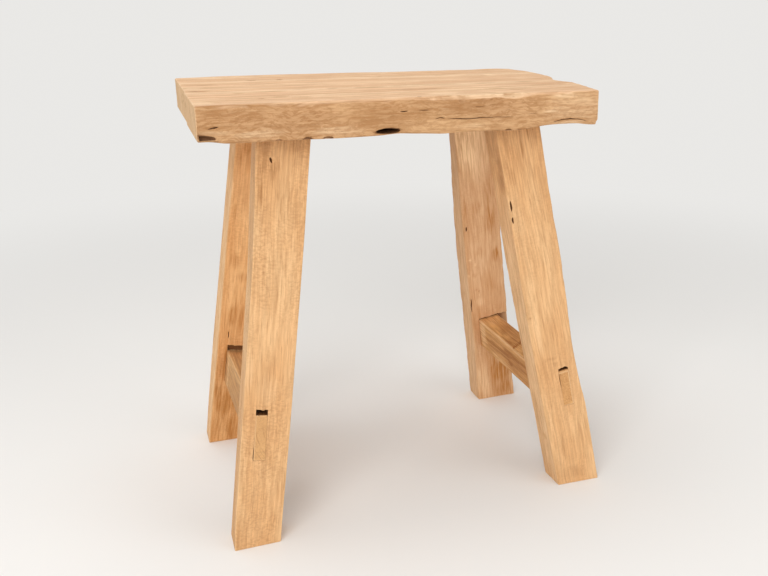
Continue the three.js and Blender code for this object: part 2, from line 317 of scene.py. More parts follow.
def fissure(path, outward, width, depth, seed, stations=40):
    """A thin wedge let in along a path. Its width and depth follow sin(pi t)^0.6 from end to end,
    its line wanders by noise, and its section is a kite: wide above the skin, a point below."""
    t = np.linspace(0, 1, stations)
    knots = np.array(path, float)
    along = np.linspace(0, 1, len(knots))
    line = np.stack([np.interp(t, along, knots[:, k]) for k in range(3)], -1)
    outward = np.array(outward, float)
    aside = np.cross(outward, line[-1] - line[0])
    aside /= np.linalg.norm(aside)
    wander = fractal(line, (9 * MM, 9 * MM, 9 * MM), seed, 2) * 0.9 * MM
    ragged = 1 + 0.35 * fractal(line, (4 * MM, 4 * MM, 4 * MM), seed + 5, 2)
    full = np.maximum(np.sin(math.pi * t), 0) ** 0.6 * ragged * 0.93 + 0.07
    line = line + aside * (wander * np.sin(math.pi * t))[:, None]
    kite = [(-0.75, 0.6), (0.75, 0.6), (0.5, 0), (0.2, -0.6), (0, -1), (-0.2, -0.6), (-0.5, 0)]
    rings = []
    for across, down in kite:
        height = np.where(down > 0, 0.6 * MM, down * depth * full)
        rings.append(line + aside * (across * width * full)[:, None] + outward * height[:, None])
    points = np.stack(rings, 1).reshape(-1, 3)
    around = len(kite)
    ring = np.arange(around)
    start = np.arange(stations - 1)[:, None] * around
    quads = np.stack([start + (ring + 1) % around, start + ring], -1)
    quads = np.concatenate([quads, quads[..., ::-1] + around], -1).reshape(-1, 4)
    points = np.concatenate([points, line[[0, -1]]])
    first, last = len(points) - 2, len(points) - 1
    end = (stations - 1) * around
    caps = [(first, k, (k + 1) % around) for k in ring]
    caps += [(last, end + (k + 1) % around, end + k) for k in ring]
    return points, quads, caps


def fissure_cutter(name, specs):
    """One object with every wedge of a list of (path, outward, width, depth, darkness)."""
    points, faces, start = [], [], 0
    for seed, (path, outward, width, depth, _) in enumerate(specs):
        wedge, quads, caps = fissure(path, outward, width, depth, seed * 31 + 7)
        faces += (quads + start).tolist() + (np.array(caps) + start).tolist()
        points.append(wedge)
        start += len(wedge)
    mesh = bpy.data.meshes.new(name)
    mesh.from_pydata(np.concatenate(points).tolist(), [], faces)
    mesh.validate()
    cutter = bpy.data.objects.new(name, mesh)
    bpy.context.scene.collection.objects.link(cutter)
    return cutter


def fissure_darkness(places, specs):
    """For each place that is a point of a fissure's wedge, that fissure's painted shade, and 0 elsewhere.
    """
    walls = [
        (point, darkness)
        for seed, (*shape, darkness) in enumerate(specs)
        for point in fissure(*shape, seed * 31 + 7)[0]
    ]
    tree = KDTree(len(walls))
    for index, (point, _) in enumerate(walls):
        tree.insert(point, index)
    tree.balance()
    nearest = [tree.find(place) for place in places]
    return np.array([walls[index][1] if far < 0.01 * MM else 0 for _, index, far in nearest])


# The places of the end frames, legs and stretchers


def shifted(x, y, z):
    """A move as a 4 x 4 array."""
    return np.array(Matrix.Translation((x, y, z)))


def turned(angle, axis):
    """A turn about an axis as a 4 x 4 array."""
    return np.array(Matrix.Rotation(angle, 4, axis))


def splays():
    """How far the end frames lean inward and how far the legs lean in them, in radians."""
    s = sizes()
    side = math.atan2((s.foot_span - s.shoulder_span) / 2, UNDERSIDE)
    front = math.atan2((s.foot_depth - s.shoulder_depth) / 2, UNDERSIDE / math.cos(side))
    return side, front


def end_frame_place(side):
    """An end frame leans inward, and its Z runs up the slope of its two legs."""
    lean = splays()[0]
    return shifted(LEGS_MIDDLE + side * sizes().foot_span / 2, 0, 0) @ turned(-side * lean, "Y")


def leg_place(side, end):
    """A leg leans in its end frame towards the other leg, and its Z runs up the leg."""
    lean = splays()[1]
    return end_frame_place(side) @ shifted(0, end * sizes().foot_depth / 2, 0) @ turned(end * lean, "X")


def stretcher_place(side):
    """A stretcher lies in its end frame and falls a little towards one leg, along its own Y."""
    spec = STRETCHERS[side]
    middle = (spec["front_middle"] + spec["back_middle"]) / 2
    leg_to_leg = sizes().foot_depth - 2 * middle * math.tan(splays()[1])
    fall = math.atan2(spec["front_middle"] - spec["back_middle"], leg_to_leg)
    return end_frame_place(side) @ shifted(0, 0, middle) @ turned(-fall, "X")


def carried(place, points):
    """Points of a piece's own frame, in the frame that its place is given in."""
    return points @ place[:3, :3].T + place[:3, 3]


# The seat plank

SEAT_SEED = 11
SEAT_SPACING = (2.0 * MM, 2.3 * MM, 1.3 * MM)  # of the plank's grid along X, Y and Z
# The plank's outline in millimetres: its ends as (Y, X), its back edge as (X, Y) and how far its
# front stands back as (X, amount). The back edge was measured at columns of the photo and then
# corrected.
LEFT_END = [(-133, -233.6), (-40, -233.8), (-3, -233.6), (4, -232.4), (80, -232.5), (151, -232.2)]
RIGHT_END = [
    (-133, 220.2), (-106, 222.4), (-75, 227), (-46, 229.6), (-34, 229.8), (-24, 221), (-14, 219.4),
    (4, 222.6), (24, 230.4), (44, 234.2), (95, 234.4), (116, 234), (134, 231), (156, 224),
]
BACK_EDGE = [
    (-233, 149), (-208, 150.4), (-193, 153.6), (-178, 156), (-163, 156.6), (-148, 155.4), (-132, 156.6),
    (-100, 156.8), (-85, 156.6), (-70, 154.4), (-54, 153.6), (-37, 154), (-5, 153.6), (11, 152),
    (43, 150), (77, 151), (95, 151), (112, 150.4), (147, 151), (164, 147), (184, 151), (203, 152),
    (218, 146), (227, 141), (235, 131),
]
FRONT_EDGE = [
    (-233, 0.2), (-190, 0), (-120, 0.7), (-60, 0.2), (0, 0.9), (60, 0.5), (120, 1.4), (170, 0.4),
    (222, 0.2),
]

# How far the underside stands above its level (over 0) or hangs below it (under 0): (X, amount)
LOWER_EDGE = [
    (-233, 1.3), (-218, 1.3), (-211, -0.8), (-206, -1.4), (-117, -2), (-95, -2.2), (-60, -1.7),
    (-40, -1.4), (-30, -0.4), (-19, -0.2), (-8, -1.2), (10, -2), (28, -3.3), (56, -2.3), (92, -2.7),
    (104, -4), (122, -4), (136, -2.2), (148, -0.6), (160, 0.3), (190, 0.4), (200, -0.3), (208, -2.2),
    (222, -2.2),
]

# How far down the front top arris is chewed away: (X, amount)
TOP_BEVEL = [
    (-233, 0), (-150, 0.3), (-110, 1), (-60, 1.3), (-20, 1.8), (10, 2.6), (34, 4), (60, 5), (135, 5),
    (152, 2.4), (180, 1.2), (222, 0.2),
]
# Hollows in the front, low down: centre, reaches, how dark inside (painted shade, and the darker old
# surface of the wane), and the least X, Y and Z they reach
LOWER_HOLLOWS = [
    ((-233, -134, 465.2), (19, 7, 5.2), 0.9, (-231.4, -160, 465)),
    ((-34.8, -134, 465.2), (13.7, 26, 2.9), 1, (-300, -160, 0)),
    ((184.5, -134.2, 466), (22.5, 3.4, 2.6), 0, (-300, -160, 0)),
]
# Nicks in the front's arrises: centre, reaches and how much painted shade lies inside
ARRIS_NICKS = [
    ((222.5, -134, 459.5), (5, 7, 7), 0),
    ((-122, -133, 461.2), (5, 3.4, 2.4), 0.9),
    ((-152, -133.4, 461), (4, 3, 1.7), 0.6),
    ((-100, -133.4, 461), (6, 3, 2), 0.8),
    ((107, -133.4, 457.7), (4.8, 3.8, 2.6), 1),
    ((122.6, -133.4, 457.6), (6.8, 3.6, 2.6), 1),
    ((4, -132.9, 499.4), (3, 2.2, 1.3), 0.5),
    ((20, -133.2, 498.4), (4, 2.6, 1.4), 0.3),
    ((34, -133.4, 497), (4, 3, 1.5), 0.5),
    ((95, -133.4, 495.2), (4.5, 3, 1.8), 0.8),
    ((-127, -133.6, 497.5), (6, 2.4, 1.4), 0.3),
    ((-106, -133.8, 498.4), (9, 2.4, 1.4), 0.3),
    ((52, -133.4, 494), (6, 3, 1.6), 0.5),
    ((79, -133.4, 494.6), (8, 3, 1.4), 0.4),
]
# Fissures in millimetres: places along them, as (X, Y) on the top and (X, Z) on the front, then
# width, depth and how much painted shade lies inside them
TOP_FISSURES = [
    (((-152, 93), (-146, 92.4), (-139.5, 92)), 2.2, 2.4, 0.9),
    (((-114, 92), (-110.6, 92.4), (-107.5, 92.2)), 3.4, 3, 1),
    (((-166, -88.8), (-162, -88.4), (-158, -88.6)), 2.6, 2.6, 0.9),
    (((-232, -3), (-218, -6), (-204, -8.6)), 1.2, 2.2, 0.8),
    (((-60, -19), (14, -14.5), (97, -11.8)), 2.1, 2, 0.8),
    (((-66, -53), (2, -57.6), (80, -62.5)), 2, 2, 0.8),
    (((100, -76), (120, -84), (139, -90)), 1.1, 1.2, 0.5),
    (((148, -20.5), (167, -24), (187, -18)), 1.2, 1.2, 0.6),
    (((30, 40), (110, 44), (190, 38)), 0.6, 0.8, 0.4),
    (((-220, 40), (-170, 44), (-120, 42)), 0.6, 0.8, 0.4),
    (((-1, -126.4), (2.5, -126), (6, -126.2)), 1.4, 1.4, 0.7),
]
FRONT_FISSURES = [
    (((33, 475.4), (54, 474.3), (95, 474.2), (120, 473.2)), 1.1, 2.2, 0.8),
    (((122.6, 473.6), (133, 475.6), (148, 477.7)), 0.9, 1.6, 0.7),
    (((19, 475.4), (25, 476.6), (30.6, 475.6)), 1.5, 2.4, 0.9),
    (((-222.5, 476.2), (-217, 477), (-212, 478.2)), 1.4, 2, 0.9),
    (((-21, 485.4), (-16, 485.2), (-12, 485.6)), 1.1, 1.8, 0.8),
    (((0, 486.1), (7, 485.9), (14, 485.4)), 1.1, 1.8, 0.8),
    (((102, 482.4), (107, 482.6), (112, 483.6)), 0.9, 1.4, 0.6),
    (((66, 487), (74, 486.6), (81, 487.4)), 1, 1.6, 0.7),
    (((162.5, 465.8), (173, 467.4), (185, 468.3), (197, 467), (205.5, 464.8)), 1.3, 2.6, 0.85),
]
TOP_SKIN = 499.7 * MM  # the level of the top fissures' paths
FRONT_SKIN = -132 * MM  # the plane of the front fissures' paths


def down_length(table, place):
    """A value in metres between the rows of a table of (place, value) in millimetres, rounded off by
    averaging it over 12 mm."""
    rows = np.array(table, float) * MM
    offsets = np.linspace(-6, 6, 5) * MM
    return sum(np.interp(place + offset, rows[:, 0], rows[:, 1]) for offset in offsets) / len(offsets)


def hewn_depth(points, outward):
    """How far the tools and the weather took the plank's skin in. Long flats and ridges run along the
    grain on the top. On the front and back, lumps lie under torn fibres, whose noise is read on places
    that a slower noise shifts up and down, so that the fibres flow."""
    faces, ends = np.abs(outward[:, 1]), np.abs(outward[:, 0])
    flats = fractal(points, (150 * MM, 34 * MM, 60 * MM), SEAT_SEED, 2)
    ridges = fractal(points, (110 * MM, 7.5 * MM, 7.5 * MM), SEAT_SEED + 1, 3)
    lumps = fractal(points, (34 * MM, 34 * MM, 13 * MM), SEAT_SEED + 2, 3)
    flow = noise(points, (45 * MM,) * 3, SEAT_SEED + 5)[:, None] * np.array((0, 0, 7 * MM))
    strokes = fractal(points + flow, (17 * MM, 17 * MM, 3.4 * MM), SEAT_SEED + 3, 2)
    smooth_skin = 0.16 + 0.22 * flats + 0.4 * ridges
    rough_skin = 0.34 + 0.45 * lumps + 0.65 * strokes
    share = smooth_skin * (1 - faces) + rough_skin * faces
    return sizes().hewn_depth * np.maximum(share * (1 - 0.6 * ends), 0)


def seat_surface(points):
    """Carries a straight block, counted from its front left lower corner, to the plank's outline:
    X runs between the two ends' places at that depth, Y between the front and back edges, and Z from
    the underside, which hangs by LOWER_EDGE, to the level top."""
    length_x, depth_y, height_z = SEAT_HIGH - SEAT_LOW
    nominal_y = SEAT_LOW[1] + points[:, 1]
    left, right = down_length(LEFT_END, nominal_y), down_length(RIGHT_END, nominal_y)
    x = left + points[:, 0] / length_x * (right - left)
    front = SEAT_LOW[1] + down_length(FRONT_EDGE, x)
    back = down_length(BACK_EDGE, x)
    y = front + points[:, 1] / depth_y * (back - front)
    hang = down_length(LOWER_EDGE, x) * (1 - points[:, 2] / height_z)
    return np.stack([x, y, SEAT_LOW[2] + points[:, 2] + hang], -1)


def seat_skin_distance(places):
    """For each place, its distances inside the plank's ends, its front and back, and its top and
    underside."""
    x, y, z = places.T
    front, back = SEAT_LOW[1] + down_length(FRONT_EDGE, x), down_length(BACK_EDGE, x)
    faces = np.minimum(y - front, back - y)
    nominal_y = SEAT_LOW[1] + (y - front) / (back - front) * (SEAT_HIGH - SEAT_LOW)[1]
    ends = np.minimum(x - down_length(LEFT_END, nominal_y), down_length(RIGHT_END, nominal_y) - x)
    return ends, faces, np.minimum(SEAT_HIGH[2] - z, z - SEAT_LOW[2] - down_length(LOWER_EDGE, x))


def skin_marks(piece, distances, grain_axis, low, worn_highlit=1.0, hollow=0.0, inside=None):
    """Marks arrises, ends, depth below the skin and low places for the material, from each vertex's
    distances to the three pairs of faces. The arris mark lightens worn edges and so also paints a
    highlight along them; the depth mark paints shade into hollows, fissures and joints."""
    stacked = np.sort(np.stack(distances, -1), -1)
    inside = stacked[:, 0] if inside is None else inside
    mark(piece, "arris", (1 - np.hypot(stacked[:, 0], stacked[:, 1]) / (3.2 * MM)) * worn_highlit)
    # Painted shade that grows with the depth below the skin, or as given for hollows, fissures and joints.
    mark(piece, "deep", np.maximum((inside - 1.7 * MM) / (1.8 * MM), hollow))
    mark(piece, "sawn_end", 1 - distances[grain_axis] / (1.2 * MM))
    mark(piece, "low", low)


# Darker places (over 0) and paler ones (under 0) in millimetres: centre, two reaches and strength,
# on the front (X, Z), the top (X, Y) and the left end (Y, Z). Most marks on the front, the top and the
# legs were placed by eye on enlarged views, and a separate script turned their places and reaches into
# millimetres with the camera's numbers. The other marks were set one by one.
# On the front, the thin dark rows at 495 mm and above paint a shadow line under the top arris, the dark
# rows at 459.6 to 461.5 mm paint shade in the lower nicks, and at the right end the dark rows near 468 mm
# paint the arch's shadow line while the pale row at 464.6 mm paints light on the slope below it.
FRONT_MARKS = [
    (-216, 493, 14, 5.3, 0.4), (-222, 478, 7, 1.5, 0.85), (-210, 476, 6, 1.2, 0.6),
    (-176, 487, 15, 7, 0.35), (-198, 499, 9, 1, 0.8), (-167, 498, 22, 1, 0.6), (-215, 499, 9, 1, 0.6),
    (-128, 496, 9, 3.1, 0.7), (-119, 493, 3, 1.1, 0.95), (-101, 496, 11, 1, 0.6),
    (-120, 478, 4, 3.2, 0.6), (-96, 476, 3, 4, 0.45), (-71, 484, 3, 2.8, 0.6), (-75, 479, 7, 4, 0.3),
    (-24, 484, 15, 4.9, 0.4), (-23, 486, 6, 1, 0.7), (10, 484, 5, 4.1, 0.5), (-8, 483, 13, 4.1, 0.35),
    (48, 487, 4, 2.5, 0.85), (67, 487, 11, 1, 0.75), (94, 490, 9, 6.8, 0.35), (0, 496, 17, 1.1, 0.5),
    (95, 495, 5, 1, 0.7), (100, 470, 19, 1.7, 0.4), (140, 488, 4, 2.3, 0.75), (150, 492, 9, 1.1, 0.5),
    (135, 485, 3, 1.8, 0.5), (125, 468, 5, 2.7, 0.5), (106, 493, 5, 1.5, 0.5),
    (111, 482, 10, 1.5, 0.35), (-215, 472, 18, 2.6, -0.5), (-169, 469, 27, 4.7, -0.4),
    (-84, 468, 35, 4.8, -0.4), (58, 466, 24, 3.1, -0.3), (185, 496, 29, 2.6, -0.55),
    (160, 478, 11, 1.4, -0.5), (208, 469, 9, 3.1, -0.3), (190, 482, 44, 26, -0.28),
    (175, 467.6, 13, 1, 0.8), (184, 468.6, 12, 1, 0.9), (197, 467.4, 11, 1, 0.8),
    (186, 464.6, 22, 1.4, -0.5), (-152, 461, 4, 1.6, 1.2), (-122, 461.5, 5, 2, 1.3),
    (-100, 461, 6, 1.8, 1.2), (107, 459.6, 5, 2.2, 1.5), (122.6, 459.6, 7, 2.2, 1.4),
    (30, 482, 50, 17, 0.4), (-34, 482, 42, 18, 0.5), (-212, 484, 18, 14, 0.5), (-56, 482, 26, 16, 0.4),
    (46, 486, 4, 3, 0.6), (133, 486, 3, 1.6, 0.6), (141, 487.4, 3, 1.6, 0.6),
    (-186, 494.6, 3, 1.4, 0.6), (-191, 498.6, 13, 1.2, 0.7), (-144, 493.6, 5, 1.6, 0.5),
    (-58, 490, 17, 3.2, -0.25), (28, 472, 20, 3.3, -0.25),
]
TOP_MARKS = [
    (20, -14.4, 75, 2.2, 0.5), (10, -58, 80, 2.2, 0.5), (-190, -11, 40, 2.2, 0.5),
    (166, -21, 22, 2.2, 0.4), (-217, -6, 15, 3.7, 0.8), (-208, 57, 19, 5, 0.4), (-139, 49, 29, 5, 0.4),
    (-147, -29, 27, 5.1, 0.45), (-178, -39, 7, 3.6, 0.5), (-189, -74, 15, 3.3, 0.4),
    (-139, -83, 10, 4, 0.45), (-145, 92, 7, 3.6, 0.7), (-111, 92, 5, 5.4, 0.9),
    (-161, -89, 4, 2.6, 0.9), (-70, -22, 7, 3, 0.8), (-25, -25, 18, 3.1, 0.9), (14, -20, 11, 3.1, 0.6),
    (-19, -55, 30, 3.6, 0.6), (-106, -21, 12, 3, 0.6), (-117, -89, 12, 4, 0.55),
    (-82, 50, 18, 4.3, 0.4), (20, 97, 4, 4.7, 0.6), (-37, -88, 16, 4.1, 0.3), (52, -19, 37, 4, 0.65),
    (38, -59, 36, 3.7, 0.7), (121, -19, 23, 4, 0.7), (111, -81, 17, 3.6, 0.6),
    (87, -117, 13, 3.4, 0.35), (4, -130, 3, 3.2, 0.8), (102, 80, 14, 4.7, 0.35),
    (175, -23, 21, 4.3, 0.6), (185, -59, 23, 3.4, 0.5), (135, -94, 15, 3.1, 0.6),
    (156, -108, 15, 3.1, 0.4), (209, -58, 5, 3.4, 0.5), (204, -94, 11, 3.2, 0.3),
    (-225, -109, 15, 12.2, -0.35), (-28, -133, 15, 7.3, -0.3), (-221, 26, 12, 9.4, -0.3),
    (-20, 88, 28, 18.2, -0.3), (163, 72, 10, 18.7, -0.3), (195, 22, 21, 15.3, -0.25),
    (41, -106, 24, 13.4, -0.3),
]
LEFT_END_MARKS = [
    (-20, 486, 5, 5, 0.6), (-70, 480, 4, 26, 0.35), (60, 482, 20, 2.4, 0.2), (-1, 499, 4, 2, 0.5),
    (-124, 480, 5, 26, 0.4), (-44, 480, 3, 30, 0.3), (22, 480, 5, 30, 0.3), (75, 480, 14, 40, -0.3),
    (-98, 478, 5, 30, -0.2),
]
FRONT_STRENGTH, TOP_STRENGTH = 1.25, 1.4
CHEWED_SUM = 1.5  # the chewed slope's reach down and back together, over its reach down


def behind_chewed_arris(places, distances):
    """How far places lie behind the slope that the front top arris is chewed away to: the distances
    below the top and behind the front, less the slope's own sum, over the square root of 2."""
    below = SEAT_HIGH[2] - places[:, 2]
    return (below + distances[1] - CHEWED_SUM * down_length(TOP_BEVEL, places[:, 0])) / math.sqrt(2)


def seat_stains_and_painted_light(places, distances):
    """The seat's marks on its front, top and left end with edges frayed along the grain, some of them
    painted light and shade; a frayed line of painted shadow under the top arris; and painted shade on
    the slope where that arris is chewed away, which faces the light."""
    x, y, z = places.T
    below = SEAT_HIGH[2] - z
    bevel = down_length(TOP_BEVEL, x)
    fray = fractal(places, (26 * MM, 5 * MM, 5 * MM), SEAT_SEED + 6, 2)
    on_front = smooth(2.6 * MM, 0.9 * MM, distances[1]) * (y < 0)
    on_top = smooth(2.2 * MM, 0.7 * MM, below) * (1 - on_front)
    on_end = smooth(1.5 * MM, 0.5 * MM, distances[0]) * (x < 0)
    # Painted shadow: a thin frayed dark line just under the top arris, where the top overhangs the front.
    line = np.exp(-(((below - bevel - (1.3 + 0.7 * fray) * MM) / (0.8 * MM)) ** 2))
    # Painted shade on the chewed slope, which faces the light and would otherwise show brighter than the
    # top and the front.
    chewed = smooth(1.4 * MM, 0.3 * MM, np.abs(behind_chewed_arris(places, distances)))
    chewed *= smooth(0.8 * MM, 3 * MM, bevel) * (y < 0)
    front = FRONT_STRENGTH * ovals(x, z, FRONT_MARKS, fray) + 0.8 * line * smooth(-0.5, 0.3, fray)
    return (
        np.maximum(front, 0.5 * front) * on_front
        + TOP_STRENGTH * ovals(x, y, TOP_MARKS, fray) * on_top
        + ovals(y, z, LEFT_END_MARKS, fray) * on_end
        + (0.8 + 0.6 * fray) * chewed * (1 - on_front)
    )


def hollow_share(places, inside):
    """How much painted shade the walls of hollows and nicks get: they lie within 1.3 of the ellipsoid
    and below the skin."""
    dark = np.zeros(len(places))
    for centre, reach, darkness, *_ in LOWER_HOLLOWS + ARRIS_NICKS:
        far = np.linalg.norm((places / MM - centre) / np.array(reach), axis=1)
        dark = np.maximum(dark, darkness * smooth(1.3, 1.1, far) * smooth(0.1 * MM, 1.0 * MM, inside))
    return dark


def seat_skin():
    """The plank's points and quads: a block whose skin is hewn, whose long arrises are planed off
    unevenly, the front top one more where it is chewed, carried to the plank's outline."""
    extent = SEAT_HIGH - SEAT_LOW
    easing = sizes().seat_arris * np.array((1.5, 1, 1))
    axes = [ruled(0, extent[k], SEAT_SPACING[k], easing[k]) for k in range(3)]
    points, outward, faces = eased_block(axes, easing)
    points = points - outward * hewn_depth(points, outward)[:, None]
    centred = (points - extent / 2)[:, [1, 2, 0]]
    ragged = fractal(centred, (40 * MM, 40 * MM, 13 * MM), SEAT_SEED + 8, 3)
    front = smooth(0, 20 * MM, -centred[:, 0])
    chewed = down_length(TOP_BEVEL, centred[:, 2]) * front * smooth(0, 5 * MM, centred[:, 1]) / math.sqrt(2)
    cut = (0.45 + front * (0.2 + ragged)) * MM + chewed * (1 + 0.4 * ragged)
    wear_arrises(centred, extent[[1, 2]] / 2, cut)
    return seat_surface(centred[:, [2, 0, 1]] + extent / 2), faces


def seat_fissures():
    """The seat's fissures in metres, as (path, outward, width, depth, darkness)."""
    on_top = [
        ([(x * MM, y * MM, TOP_SKIN) for x, y in path], (0, 0, 1), width * MM, depth * MM, darkness)
        for path, width, depth, darkness in TOP_FISSURES
    ]
    on_front = [
        ([(x * MM, FRONT_SKIN, z * MM) for x, z in path], (0, -1, 0), width * MM, depth * MM, darkness)
        for path, width, depth, darkness in FRONT_FISSURES
    ]
    return on_top + on_front


def cut_seat(seat, fissures):
    """Takes the hollows, the nicks and the fissures out of the plank."""
    hollows = [
        scoop(np.array(centre) * MM, np.array(reach) * MM, 40 + k, floor=np.array(floor) * MM)
        for k, (centre, reach, _, floor) in enumerate(LOWER_HOLLOWS)
    ]
    nicks = [
        scoop(np.array(centre) * MM, np.array(reach) * MM, 60 + k, 0.3)
        for k, (centre, reach, _) in enumerate(ARRIS_NICKS)
    ]
    cut_out(seat, joined("hollow cutter", hollows), joined("nick cutter", nicks))
    cut_out(seat, fissure_cutter("fissure cutter", fissures))


def mark_seat(seat, fissures):
    """Marks the plank's low places, which take painted shade with some dirt, its arrises, painted shade in
    its hollows and fissures, its hewn front, and its stains with painted light and shade for its material.
    """
    places = places_of(seat)
    distances = seat_skin_distance(places)
    in_front = places[:, 1] < 0
    outward = np.zeros_like(places)
    outward[:, 1] = -1
    # On the seat the low mark is the depth of the hewn relief; on the front it becomes painted shade, with
    # some dirt, in its low places.
    calmer = np.where(in_front, 1 - 0.45 * smooth(110 * MM, 170 * MM, places[:, 0]), 1)
    low = hewn_depth(places - SEAT_LOW, outward) / sizes().hewn_depth * calmer
    # The front's long arrises get less of the worn edge and its painted highlight.
    worn_highlit = np.where(in_front & (distances[0] > 3 * MM), 0.25, 1)
    inside = np.min(distances, 0)
    inside = np.where(in_front, np.minimum(inside, behind_chewed_arris(places, distances)), inside)
    hollow = np.maximum(hollow_share(places, inside), fissure_darkness(places, fissures))
    skin_marks(seat, distances, 0, low, worn_highlit, hollow, inside)
    below = SEAT_HIGH[2] - places[:, 2]
    steep = (below - distances[1]) / (below + distances[1] + 0.1 * MM)
    mark(seat, "front_face", smooth(3.0 * MM, 0.9 * MM, distances[1]) * smooth(0.3, 0.75, steep))
    mark_stains_and_light(seat, seat_stains_and_painted_light(places, distances))


def build_seat():
    """The plank, hewn, cut and marked."""
    seat = new_piece("seat_plank_hewn", *seat_skin())
    fissures = seat_fissures()
    cut_seat(seat, fissures)
    mark_seat(seat, fissures)
    finish_piece(seat, "seat_plank", seat_material())


# The legs

# How much each leg's arrises are worn, in millimetres, and how strongly its curl and its worn
# arrises, lightened also as a painted highlight, show in its colour
LEGS = {
    ("front", "left"): {"seed": 101, "wear": 0.3, "curl": 0.3, "rub": 0.4},
    ("front", "right"): {"seed": 137, "wear": 0.8, "curl": 0.12, "rub": 0.4},
    ("back", "left"): {"seed": 173, "wear": 0.4, "curl": 0.2, "rub": 0.4},
    ("back", "right"): {"seed": 211, "wear": 1.2, "curl": 0.1, "rub": 0.45},
}
# How far each edge of a leg stands to the right of a straight one, by hand and by warping: height,
# then the back left, front left, front right and back right edges. They were measured in the photo
# where an edge shows, then smoothed and set one by one.
LEG_EDGES = {
    ("front", "left"): [
        (0, 0.15, 0.1, -2, -0.5), (25, 0.4, -0.8, -2, -0.5), (50, 0.7, -0.9, -1.5, -0.5),
        (100, 1.2, 0, -0.8, 0), (160, 1.6, 0.8, -0.1, 0), (205, 2.3, 1.5, 0.1, 0),
        (245, 2.3, 2, 0.5, 0), (300, 3, 2.8, 0.9, 0), (340, 2.6, 2.5, 1.1, 0.5),
        (375, 1.8, 2, 0.9, 0.5), (420, 1.2, 0.6, 0.7, 0.5), (465, 0.6, -1, 0.5, 0.5),
    ],
    ("front", "right"): [
        (0, -1, 0.6, 3.5, 1), (50, -1.2, -0.4, 3, 1), (85, -1.6, -0.9, 2.8, 1),
        (105, -1.9, -1.2, 2.3, 0.8), (118, -2, -1.3, 1.2, 0.5), (130, -2, -1.4, -0.4, 0),
        (150, -2.2, -1.6, -1.8, -0.5), (190, -2.4, -1.8, -3, -1), (215, -2.6, -1.6, -2.2, -1),
        (235, -2.7, -1.4, -1.1, -0.5), (290, -2.8, -0.8, 0, 0), (330, -2, 0, -0.3, 0),
        (380, -1.2, 1, -1.1, 0), (465, 0, 1.5, -0.5, 0),
    ],
    ("back", "left"): [
        (0, 0.1, 0.1, 0, 0), (25, -0.5, -0.5, 0, 0), (60, -1.2, -0.4, 0, 0), (140, -2, 0, 0, 0),
        (300, -2.2, -0.3, 0, 0), (465, -2.4, 0, 0, 0),
    ],
    ("back", "right"): [
        (0, -3.3, -2.9, 3.2, 3), (60, -3.2, -2, 2.4, 2.4), (100, -2.6, -1.5, 2, 2),
        (130, -2.7, -1.5, 1.6, 1.6), (190, -2.7, -1.6, 0, 0), (260, -2.2, -1.5, -1, -1),
        (310, -0.6, -1.2, -1, -1), (340, 0.6, -1, -0.5, -0.5), (380, 2.8, -0.3, 0, 0),
        (420, 4.2, 0, 0, 0), (465, 4.6, 0, 0, 0),
    ],
}
# Fissures in a leg's front: places along them as (across, up), width and depth, in millimetres
LEG_FISSURES = {
    ("front", "right"): [
        ([(-25, 378), (-25.4, 371), (-25.6, 365)], 2.4, 5),
        ([(-25.6, 358), (-25.8, 350)], 2.2, 5),
    ],
    ("back", "right"): [
        ([(-27, 187), (-27.4, 176), (-27.6, 165)], 1.8, 4),
        ([(-24.6, 303), (-25, 296)], 1.8, 3),
    ],
    ("front", "left"): [([(-13.4, 442), (-12, 439), (-11, 436)], 2.2, 3)],
    ("back", "left"): [([(-15.6, 176), (-15, 171), (-15.4, 166)], 1.1, 1.4)],
}
